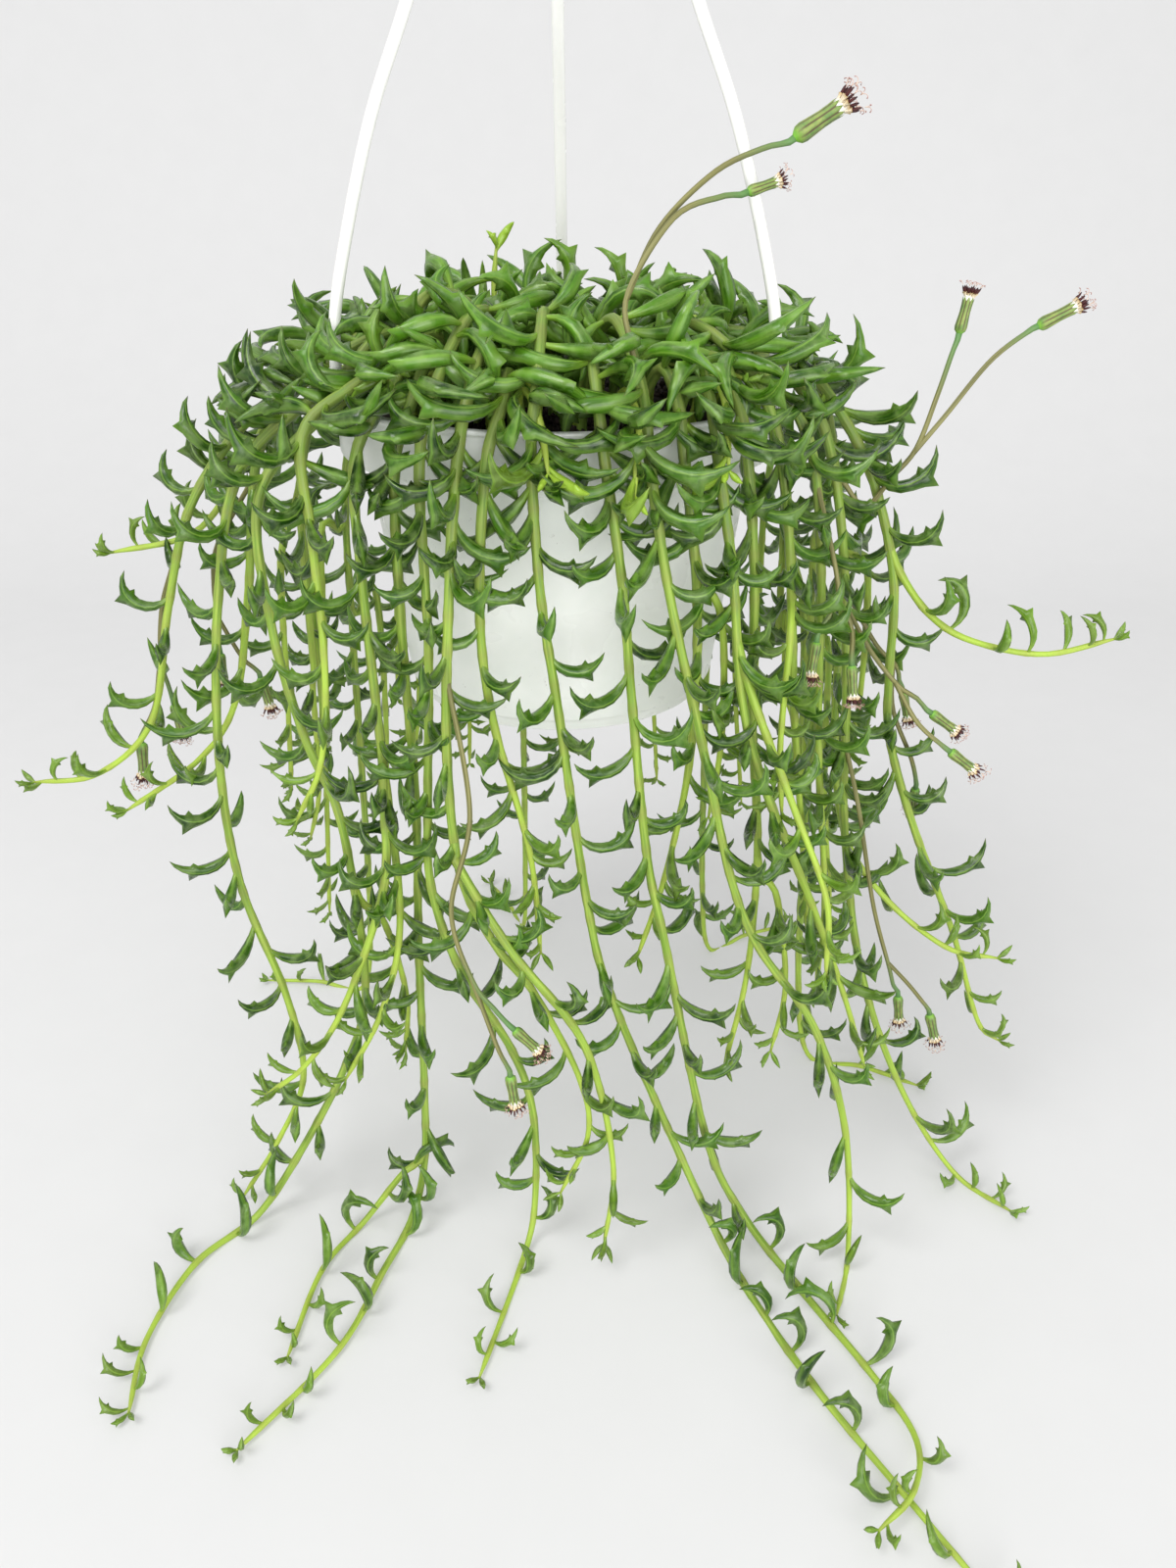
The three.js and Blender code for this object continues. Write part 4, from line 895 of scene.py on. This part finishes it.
def leaf_facing(point, tangent, seed, k, crown, tip, lying):
    """The way out of the stem and the way to the hollow side. Out is turned round the stem, up to 120
    degrees to either side, or 52 to 92 on the ground, and leans forwards. Where leaves pile up, out is
    flatter and curl is turned over, because they arch outwards there. Curl wanders most in the crown."""
    reference, side = stem_sides(point, tangent)
    turn = 2 * ((k * GOLDEN + draw(seed, 1)) % 1) - 1
    spread = math.copysign(52 + 40 * abs(turn), turn) if lying else 120 * turn
    phi = math.radians(spread + 50 * (draw(seed, k + 29) - 0.5))
    out = math.cos(phi) * reference + math.sin(phi) * side + (0.12 + 0.3 * crown + 0.9 * tip) * tangent
    high = crown * smooth(4, 26, point[2] + 0.3 * max(0, math.hypot(*point[:2]) - 45))
    out = unit(out * (1, 1, 1 - 0.7 * high))
    wander = np.array([draw(seed, k + 11), draw(seed, k + 47), draw(seed, k + 61)]) - 0.5
    wander *= (0.7 + 1.3 * crown, 0.7 + 1.3 * crown, 1.6 * crown)
    return out, across((0, 0, 1 - 1.25 * high) - 0.35 * tangent + wander, out)


upright = leaf_facing(np.array([50.0, 0.0, 0.0]), np.array([0.0, 0.0, 1.0]), 10, 0, 1, 0, False)
print("out and curl of a leaf on an upright stem:", np.round(upright, 2).tolist())

# %% Where the leaves stand
TRAIL_LEAF, CROWN_LEAF, TIP_LEAF = 27.0, 32.0, 12.0
LEAF_WIDTH = 2.45
TRAIL_STEP, LOW_STEP, CROWN_STEP, TIP_STEP = 12.5, 18, 6.5, 6
Leaves = namedtuple("Leaves", "base out curl length width start bend tint young crown")


def leaf_places(twig, seed):
    """Leaves one after another from the first one's place. Each step is drawn about what is usual there."""
    path, places, arc, k = twig.path, [], twig.first, 0
    while arc < path.length - 1:
        point, tangent = path.on(arc), path.along(arc)
        crown = smooth(CROWN_FOOT, CROWN_TOP, point[2])
        tip = smooth(path.length - twig.tip, path.length, arc)
        hanging = max(0, -tangent[2])
        lying = point[2] < FLOOR_Z + 14
        out, curl = leaf_facing(point, tangent, seed, k, crown, tip, lying)
        usual = mix(mix(TRAIL_LEAF, CROWN_LEAF, crown), TIP_LEAF, tip)
        length = usual * mix(0.72, 1.2, draw(seed, k + 83))
        width = LEAF_WIDTH * mix(1, 1.2, crown) * mix(1, 0.55, tip)
        start = math.radians(8 if lying else 12 - 88 * hanging * (1 - 0.6 * tip))
        bend = math.radians(mix(135, 190, draw(seed, k + 131)) - 25 * crown - 50 * tip)
        young = smooth(path.length - 1.5 * twig.tip, path.length, arc)
        # In the crown the tint is partly painted shade: the lower a leaf stands, the darker it is painted.
        tint = mix(draw(seed, k + 201), smooth(0, 26, point[2]), 0.6 * crown)
        places.append((point, out, curl, length, width, start, bend, tint, young, crown))
        step = mix(TRAIL_STEP, LOW_STEP, smooth(-150, -280, point[2]))
        arc += mix(mix(step, CROWN_STEP, crown), TIP_STEP, tip) * mix(0.7, 1.3, draw(seed, k + 177))
        k += 1
    reference, side = stem_sides(point, tangent)
    for way in (-1, 1):
        out = unit(tangent + 0.7 * way * side)
        curl = across(reference, out)
        length = 0.6 * TIP_LEAF * mix(0.8, 1.2, draw(seed, k))
        form = (length, 0.5 * LEAF_WIDTH, 0.0, math.radians(60))
        places.append((path.on(path.length - 0.5), out, curl, *form, draw(seed, k + 201), 1.0, crown))
    return Leaves(*(np.array(column) for column in zip(*places)))


print("leaves on the first stem's main twig:", len(leaf_places(stems[0][0], 10).base))

# %% [markdown]
# The blade is narrow at its root, widest at the middle, and pointed. It carries two teeth: a broad one on
# its outer side, like a fin, and a smaller one on its hollow side. There are over a thousand leaves, so
# each has only twelve rings of six points, and the rings are closest where the teeth are.

# %% The shape of a leaf
LEAF_SHARES = np.array([0, 0.07, 0.17, 0.28, 0.39, 0.5, 0.59, 0.65, 0.7, 0.79, 0.9, 1])
TOOTH_PULL = np.array([0, 0, 0, 0, 0, 0, 0.25, 1, 0.15, 0, 0, 0])
INNER_TOOTH, OUTER_TOOTH = 1.9, 3.2
LEAF_SIDES = 6


def leaf_rings(leaves):
    """Six points round each share of each leaf: centre + width (0.88 cos a hollow + sin a flat), where the
    centre follows a circle of radius length / bend. A tooth pulls the outer or hollow ridge out and on."""
    share = LEAF_SHARES[None, :]
    start, bend, length = leaves.start[:, None], leaves.bend[:, None], leaves.length[:, None]
    angle = start + bend * share
    reach = length / bend
    out, curl = leaves.out[:, None], leaves.curl[:, None]
    sine, cosine = np.sin(angle)[..., None], np.cos(angle)[..., None]
    centre = leaves.base[:, None] + out * (reach * (np.sin(angle) - np.sin(start)))[..., None]
    centre = centre + curl * (reach * (np.cos(start) - np.cos(angle)))[..., None]
    along = out * cosine + curl * sine
    hollow = curl * cosine - out * sine
    flat = np.cross(leaves.out, leaves.curl)[:, None, None]
    blade = (0.25 + 0.75 * smooth(0, 0.5, share)) * (1 - share**2.6) ** 0.85 + 0.02
    width = (leaves.width[:, None] * blade)[..., None, None]
    corner = np.arange(LEAF_SIDES) * 2 * np.pi / LEAF_SIDES
    ridge = np.cos(corner)[:, None] * hollow[:, :, None]
    rings = centre[:, :, None] + width * (0.88 * ridge + np.sin(corner)[:, None] * flat)
    tooth = TOOTH_PULL[None, :, None] * (leaves.length / TRAIL_LEAF)[:, None, None]
    for ridge, size in ((0, INNER_TOOTH), (LEAF_SIDES // 2, -OUTER_TOOTH)):
        rings[:, :, ridge] += tooth * (size * hollow + 0.35 * abs(size) * along)
    return rings


bows = [arm_bow(azimuth) for azimuth in EAR_AZIMUTHS]
arms = np.vstack([bow.on(np.linspace(0, bow.length, 60)) for bow in bows])


def clear_of_holder(rings):
    """True for each leaf that doesn't pass through the pot, the mix, an arm or the ground."""
    points = rings.mean(2)
    r, z = np.linalg.norm(points[..., :2], axis=-1), points[..., 2]
    wall = np.interp(z, [-105, -101, -20.5, -18.5, 0], [53.5, 56, 67.5, 76, 77.5]) + 1
    bowl = (r < MIX_EDGE - 0.9) & (z > mix_height(r) + 1)
    held = (z < 1) & (z > -106) & (r < wall) & ~bowl
    touching = np.linalg.norm(points[:, :, None] - arms, axis=-1).min(-1) < ARM_RADIUS + 1.45
    low = rings[..., 2].min(-1) < FLOOR_Z
    return ~(held | touching | low)[:, 1:].any(1)


blades = leaf_rings(leaf_places(stems[0][0], 10))
print("of these", len(blades), "blades", clear_of_holder(blades).sum(), "touch neither pot nor ground")

# %% [markdown]
# ### Stem skins
# A stem is a tube that swells a little where a leaf joins it, and thins towards its tip. Its leaves go into
# the same skin, because a stem and its leaves grew as one.

# %% The skin of a stem
STEM_CROWN, STEM_TRAIL, STEM_TIP = 1.65, 1.45, 0.9


def near_joint(arcs, joints):
    """1 at a leaf's joint and 0 from 4 mm away."""
    gaps = np.abs(arcs[:, None] - joints[None, :]).min(1)
    return smooth(4, 0, gaps)


def stem_radius(path, joints):
    """Thinner below the crown and over the last 130 mm, pointed in the last 7 mm, and wider at joints."""
    def radius(arcs, centre):
        body = mix(STEM_TRAIL, STEM_CROWN, smooth(CROWN_FOOT, CROWN_TOP, centre[:, 2]))
        body = mix(body, STEM_TIP, smooth(path.length - 130, path.length, arcs))
        body = body * mix(0.4, 1, smooth(path.length, path.length - 7, arcs))
        return body * (1 + 0.14 * near_joint(arcs, joints))
    return radius


path = stems[0][0].path
ends = np.array([0.0, path.length])
radii = stem_radius(path, joints=ends + 9)(ends, path.on(ends))
print("a stem's radius at its root and at its tip:", radii.round(2))

# %% [markdown]
# The leaves' marks are one value for each leaf, and the stem's are one for each ring. numpy spreads either
# over its points. A leaf that would stand in the pot, the mix, an arm or the ground is left out, as it would
# have been pushed aside.

# %% Stems with their leaves
def strand(rings, lengthwise, seed):
    """Texture places that run along a tube or leaf: round it in two numbers, slowly along it in the third."""
    angle = np.arange(rings.shape[-2]) * 2 * np.pi / rings.shape[-2]
    place = np.zeros(rings.shape)
    place[..., 0] = np.cos(angle)
    place[..., 1] = np.sin(angle)
    place[..., 2] = lengthwise[..., None] + seed
    return place


def add_bark(skin, path, leaves, seed):
    joints = np.array([path.nearest(base) for base in leaves.base])
    rings, arcs = tube(path, stem_radius(path, joints), pitch=3.5)
    marks = {
        "crown": smooth(-60, 0, path.on(arcs)[:, 2]),
        "young": smooth(path.length - 150, path.length - 20, arcs),
        "share": near_joint(arcs, joints),
    }
    marks = {name: value[:, None] for name, value in marks.items()}
    skin.rings(rings, 1, strand=strand(rings, arcs / 40, seed), **marks)


def add_leaves(skin, leaves, fresh):
    """Puts in the leaves that are clear, each with streaks of its own, and gives their number."""
    blades = leaf_rings(leaves)
    clear = clear_of_holder(blades)
    blades = blades[clear]
    lengthwise = LEAF_SHARES[None, :] * 1.4 + 9 * leaves.tint[clear][:, None]
    marks = {name: getattr(leaves, name)[clear][:, None, None] for name in ("tint", "young", "crown")}
    marks["young"] = marks["young"] * fresh
    skin.rings(blades, 0, share=LEAF_SHARES[None, :, None], strand=strand(blades, lengthwise, 0.0), **marks)
    return len(blades)


def add_stem(number, twigs):
    skin = Skin()
    kept = 0
    for i, twig in enumerate(twigs):
        leaves = leaf_places(twig, 10 * number + i)
        add_bark(skin, twig.path, leaves, number + 7 * i)
        kept += add_leaves(skin, leaves, twig.fresh)
    add_node(f"stem_{number:02d}", skin, [LEAF, BARK], "foliage", f"leafy_stem_{number:02d}")
    return kept


leaf_counts = [add_stem(i + 1, twigs) for i, twigs in enumerate(stems)]
print("leaves:", sum(leaf_counts), "on", len(leaf_counts), "stems")


# %% [markdown]
# ## Flower sprays
# A spray is one thin stalk that leaves its stem and forks to two heads. Each head is a cup of eight bracts,
# a little swollen at the foot, with a tuft of tube florets in it. Silky pappus shows between the bracts'
# points. Nine sprays can be counted, so each is listed one by one: where on its stem it starts, and the way
# to each head.

# %% Where the sprays run
Spray = namedtuple("Spray", "stem at stalk heads")
Head = namedtuple("Head", "way cup facing size")
SPRAYS = [
    Spray(13, 92, [(22, -76, 24), (21, -66, 36)], [
        Head([(34, -56, 55), (48, -48, 60)], (56, -43, 61), (1, 0.35, 0.3), 0.65),
        Head([(30, -54, 52), (46, -43, 66), (60, -38, 72)], (70, -34, 75), (1, 0.2, 0.62), 1.05),
    ]),
    Spray(19, 84, [(99, -44, -30), (108, -38, -22), (116, -33, -14)], [
        Head([(122, -28, 2), (126, -24, 14)], (128, -22, 20), (0.18, 0.12, 1), 0.75),
        Head([(125, -30, -4), (138, -26, 12)], (153, -22, 22), (1, 0.1, 0.5), 0.85),
    ]),
    Spray(18, 100, [(87, -66, -44), (88, -68, -54)], [
        Head([(84, -70, -60)], (82, -71, -66), (-0.1, -0.1, -1), 0.7),
        Head([(93, -70, -62)], (94, -71, -74), (0.12, -0.1, -1), 0.7),
    ]),
    Spray(19, 128, [(104, -56, -76), (113, -59, -86)], [
        Head([(120, -58, -91)], (126, -57, -97), (1, 0.1, -0.75), 0.75),
        Head([(120, -62, -98)], (132, -64, -108), (1, 0.1, -0.8), 0.75),
    ]),
    Spray(21, 140, [(112, -27, -84), (120, -27, -92)], [
        Head([(122, -26, -98)], (124, -26, -103), (0.3, 0, -1), 0.7),
        Head([(119, -34, -106), (127, -37, -124)], (131, -34, -138), (0.1, 0.35, -1), 0.7),
    ]),
    Spray(19, 176, [(104, -63, -132), (112, -67, -168), (122, -62, -198)], [
        Head([(126, -58, -210)], (129, -56, -217), (0.15, 0, -1), 0.75),
        Head([(131, -60, -208), (139, -58, -219)], (142, -57, -225), (0.3, 0, -1), 0.8),
    ]),
    Spray(1, 122, [(-132, -31, -56), (-138, -29, -70), (-141, -30, -88)], [
        Head([(-140, -30, -98)], (-139, -30, -106), (0.1, 0, -1), 0.75),
        Head([(-146, -30, -106)], (-153, -31, -121), (-0.1, 0, -1), 0.85),
    ]),
    Spray(2, 132, [(-114, -34, -46), (-119, -28, -62), (-120, -26, -76)], [
        Head([(-121, -26, -82)], (-121, -26, -88), (0, 0, -1), 0.7),
        Head([(-114, -24, -90)], (-109, -22, -99), (0.2, 0, -1), 0.75),
    ]),
    Spray(9, 150, [(-26, -108, -108), (-33, -112, -140), (-27, -115, -165)], [
        Head([(-20, -116, -176)], (-14, -116, -184), (0.7, 0, -0.8), 0.75),
        Head([(-20, -117, -190)], (-16, -117, -203), (0.1, 0, -1), 0.8),
    ]),
]
print("sprays:", len(SPRAYS))

# %% [markdown]
# The cup could be eight separate bracts, but they are pressed together, and only their points and the
# stripes between them tell them apart. So it is one turned shape whose outline waves eight times on its way
# round.

# %% The cup of bracts
BRACTS, CUP_SIDES, SILK_POINTS = 8, 32, 10


def turned_to(rings, head, direction):
    """Rings made about +Z, turned to the head's direction and set on its cup's foot."""
    side = across((0.2, 0.9, 0.1), direction)
    basis = np.stack([side, np.cross(direction, side), direction])
    return np.array(head.cup) + rings @ basis


def add_cup(skin, head, direction):
    """A lathe whose radius swells by 6% along each of eight bracts, and whose mouth is cut into eight points.
    The silk inside is a second one, with ten low points."""
    round_it = np.arange(CUP_SIDES) * 2 * np.pi / CUP_SIDES
    heights = np.array([-0.8, 0, 0.7, 2.2, 5, 8, 11, 12.6, 13.2, 12.4, 10.5])
    radii = np.array([0.9, 1.7, 2.3, 2.5, 2.3, 2.1, 2.15, 2.3, 2.25, 2.0, 1.5])
    mouth = np.array([0, 0, 0, 0, 0, 0, 0, 0.5, 1, 0.6, 0])[:, None]
    rings = lathe(np.stack([radii, heights], -1) * head.size, CUP_SIDES)
    wave = np.cos(BRACTS * round_it)[None, :]
    share = np.linspace(0, 1, len(heights))[:, None]
    rings[..., :2] *= (1 + 0.06 * wave * smooth(0.1, 0.3, share))[..., None]
    rings[..., 2] += 0.9 * head.size * mouth * wave
    stripe = smooth(-0.2, -0.9, wave)
    skin.rings(turned_to(rings, head, direction), 1, share=share, tint=stripe, caps=False)
    silk = lathe(np.array([(1.7, 10.5), (1.95, 12.5), (2.1, 14.4), (1.5, 14.2)]) * head.size, CUP_SIDES)
    silk[..., 2] += np.array([0, 0, 0.5, 0.3])[:, None] * head.size * np.cos(SILK_POINTS * round_it)
    skin.rings(turned_to(silk, head, direction), 2, share=np.array([0, 0.3, 1, 1])[:, None])


# %% Sprays
STALK_RADIUS = 0.82


def stalk_radius(path, size):
    """Even, and wider over the last 6 mm, under the cup."""
    return lambda arcs, centre: STALK_RADIUS + 0.35 * size * smooth(path.length - 6, path.length, arcs)


def add_spray(number, spray):
    """The main stalk runs from its stem to the first head, and the fork leaves it 2 mm before the last point
    that they share."""
    skin = Skin()
    foot = stems[spray.stem][0].path.on(spray.at)
    ends = []
    for head in spray.heads:
        cup, direction = np.array(head.cup, float), unit(np.array(head.facing, float))
        ends.append([*head.way, cup - 3 * direction, cup + 0.6 * direction])
        add_cup(skin, head, direction)
    leaving = unit(np.array(spray.stalk[0]) - foot)
    main = Path([foot + 0.6 * leaving, foot + 4.5 * leaving, *spray.stalk, *ends[0]])
    fork = Path([main.on(main.nearest(np.array(spray.stalk[-1])) - 2), *ends[1]])
    for p, (path, head) in enumerate(zip((main, fork), spray.heads)):
        rings, arcs = tube(path, stalk_radius(path, head.size), pitch=3.0)
        share = (arcs / path.length)[:, None]
        skin.rings(rings, 0, share=share, strand=strand(rings, arcs / 40, 3.0 * number + p))
    node = f"flower_spray_{number:02d}"
    add_node(f"spray_{number:02d}", skin, [STALK, BRACT, PAPPUS], "flower_stalks", node)
    return main.length + fork.length


stalk_lengths = [add_spray(i + 1, spray) for i, spray in enumerate(SPRAYS)]
print("stalks of each spray, mm:", np.round(stalk_lengths).astype(int))

# %% [markdown]
# ## Florets
# A floret is a cream tube that widens to its mouth. A column of dark anthers stands out of it, and the
# style comes through the column and splits into two arms that curl back. Hair particles would give the
# tuft's outline but not these parts, so each floret is three small tubes, and all the tubes of a head are
# worked out at once.

# %% Floret tufts
FLORETS = 20
FLORET_TURN = 2.39996
COROLLA_HEIGHTS, COROLLA_RADII = [-1.2, 0.6, 2.0, 2.7, 3.0], [0.3, 0.36, 0.44, 0.66, 0.82]
ANTHER_HEIGHTS, ANTHER_RADII = [2.4, 2.9, 4.7, 5.6], [0.2, 0.42, 0.4, 0.14]
STYLE_RADII = [0.15, 0.13, 0.12, 0.11, 0.13, 0.2]


def florets(head, direction, seed):
    """The foot and the leaning direction of each floret: spread over the cup's mouth like a sunflower's."""
    i = np.arange(FLORETS)
    far = np.sqrt((i + 0.5) / FLORETS)
    angle = i * FLORET_TURN + seed
    side = across((0.2, 0.9, 0.1), direction)
    radial = np.cos(angle)[:, None] * side + np.sin(angle)[:, None] * np.cross(direction, side)
    foot = np.array(head.cup) + direction * (13.2 * head.size) + radial * (1.5 * head.size * far)[:, None]
    lean = unit(direction + radial * (0.62 * far * mix(0.8, 1.2, draw(i, seed)))[:, None])
    return foot, lean, across(radial, lean), mix(0.85, 1.05, draw(i, seed + 5))


def small_tubes(centres, along, radii, sides):
    """Many short tubes at once: centres (tube, ring, 3), directions (tube, ring, 3) and radii (ring)."""
    normal = across(np.array([0.31, 0.52, 0.8]), along)
    side = np.cross(along, normal)
    angle = np.arange(sides)[:, None] * 2 * np.pi / sides
    swing = np.cos(angle) * normal[:, :, None] + np.sin(angle) * side[:, :, None]
    return centres[:, :, None] + radii[None, :, None, None] * swing


def add_tubes(skin, finish, size, heights, radii, foot, lean, tall):
    """Straight tubes that stand on each foot along its lean."""
    heights, radii = np.array(heights) * size, np.array(radii) * size
    centres = foot[:, None] + lean[:, None] * (heights[None] * tall[:, None])[..., None]
    tubes = small_tubes(centres, np.broadcast_to(lean[:, None], centres.shape), radii, 5)
    skin.rings(tubes, finish, share=np.linspace(0, 1, len(heights))[:, None], caps=finish == 1)


def add_styles(skin, size, above, foot, lean, outward):
    """Two arms that part over the anthers, one to each side: up by sin t and aside by 1 - cos t."""
    turn = np.linspace(0, 2.3, len(STYLE_RADII))[None, :, None]
    for way in (-1, 1):
        wide = way * np.cross(lean, outward)[:, None] + 0.5 * outward[:, None]
        rise = above[:, None, None] + 1.7 * np.sin(turn)
        centres = foot[:, None] + size * (lean[:, None] * rise + wide * 0.95 * (1 - np.cos(turn)))
        along = unit(lean[:, None] * np.cos(turn) + wide * 0.56 * np.sin(turn))
        arms = small_tubes(centres, along, np.array(STYLE_RADII) * size, 4)
        skin.rings(arms, 2, share=np.linspace(0, 1, len(STYLE_RADII))[:, None])


def add_tuft(name, head, seed):
    """All florets with their anthers, and styles on the seven in ten that have opened."""
    skin = Skin()
    foot, lean, outward, tall = florets(head, unit(np.array(head.facing, float)), seed)
    add_tubes(skin, 0, head.size, COROLLA_HEIGHTS, COROLLA_RADII, foot, lean, tall)
    add_tubes(skin, 1, head.size, ANTHER_HEIGHTS, ANTHER_RADII, foot, lean, tall)
    i = np.flatnonzero(draw(np.arange(FLORETS), seed + 9) > 0.3)
    above = mix(4.7, 6.4, draw(i, seed + 7)) * tall[i]
    add_styles(skin, head.size, above, foot[i], lean[i], outward[i])
    add_node(name, skin, [COROLLA, ANTHER, STYLE], "florets", name.replace("florets", "flower_tuft"))
    return len(i)


opened = [
    add_tuft(f"florets_{i + 1:02d}{letter}", head, 3 * i + "ab".index(letter))
    for i, spray in enumerate(SPRAYS) for letter, head in zip("ab", spray.heads)
]
print("open florets of", len(opened), "heads:", sum(opened))


# %% [markdown]
# ## Stage
# A pale sheet runs from the ground up behind the plant in one sweep, as in a studio, so that no edge shows.
# A plane for the floor and one for the wall would leave a line. The light is that of a bright studio: soft
# from everywhere, with a large lamp above on the left and a weaker one low in front, which reaches the pot.

# %% Backdrop
SWEEP, WALL_TOP, HALF_SHEET = 0.5, 3.4, 3.2


def cotton():
    """Cotton that is lit from behind a little, so its white glows."""
    sheet = Finish("backdrop, pale cotton, lit from behind", IOR=1.45, Specular_IOR_Level=0.1, Roughness=0.9)
    sheet.done(Emission_Color=(1.0, 1.0, 1.0, 1.0), Emission_Strength=0.22)
    place = sheet.add("TexCoord")
    weave = sheet.add("TexNoise", Vector=place, Scale=MM / 30)
    return sheet.done(Base_Color=sheet.add("Mix", weave, "#b9b9b9", "#b5b5b5"))


def add_backdrop():
    """A sheet whose side view is a flat floor, a quarter circle of 0.5 m, and a wall."""
    turn = np.linspace(0, np.pi / 2, 25)
    sweep = np.stack([0.6 + SWEEP * np.sin(turn), SWEEP - SWEEP * np.cos(turn)], -1)
    side = np.vstack([[(-3.0, 0.0)], sweep, [(1.1, WALL_TOP)]])
    ground = (0, 0, FLOOR_Z / MM - RIM_DROP / MM)
    points = np.vstack([np.insert(side, 0, x, axis=1) + ground for x in (-HALF_SHEET, HALF_SHEET)])
    n = len(side)
    faces = [(i, i + n, i + n + 1, i + 1) for i in range(n - 1)]
    mesh = bpy.data.meshes.new("backdrop")
    mesh.from_pydata(points.tolist(), [], faces)
    mesh.polygons.foreach_set("use_smooth", [True] * len(faces))
    mesh.materials.append(cotton())
    sheet = put("backdrop", mesh)
    return sheet


backdrop = add_backdrop()
print("backdrop faces:", len(backdrop.data.polygons))

# %% [markdown]
# The camera stands 433 mm in front of the pot's axis, 76 mm above the rim, and looks down by 28 degrees. Its
# place and lens were found by laying the rim, the collar and the arms over those of the photograph. The
# Standard view keeps a white pot white, where a filmic one would grey it.

# %% Lamps, world and camera
AIM = (0, 0, -0.35)
CAMERA_PLACE = (0.010, -0.433, (76 - RIM_DROP) / MM)
CAMERA_TURN = (math.radians(90 - 28), 0, 0)


def add_lamp(name, place, size, power):
    data = bpy.data.lights.new(name, "AREA")
    data.shape, data.size, data.energy = "DISK", size, power
    turn = (Vector(AIM) - Vector(place)).to_track_quat("-Z", "Y").to_euler()
    put(name, data, place, turn)


def add_world():
    world = bpy.data.worlds.new("studio")
    world.use_nodes = True
    sockets = world.node_tree.nodes["Background"].inputs
    sockets["Color"].default_value = (1.0, 1.0, 1.0, 1.0)
    sockets["Strength"].default_value = 0.76
    bpy.context.scene.world = world


def add_camera():
    data = bpy.data.cameras.new("camera")
    data.sensor_width, data.lens = 36, 28.125
    bpy.context.scene.camera = put("camera", data, CAMERA_PLACE, CAMERA_TURN)


add_lamp("key lamp", (-0.8, -0.9, 1.3), 1.1, 26)
add_lamp("fill lamp", (0.5, -1.5, -0.15), 1.5, 24)
add_world()
add_camera()
bpy.context.scene.view_settings.view_transform = "Standard"
print("lamps:", [lamp.name for lamp in bpy.data.lights])
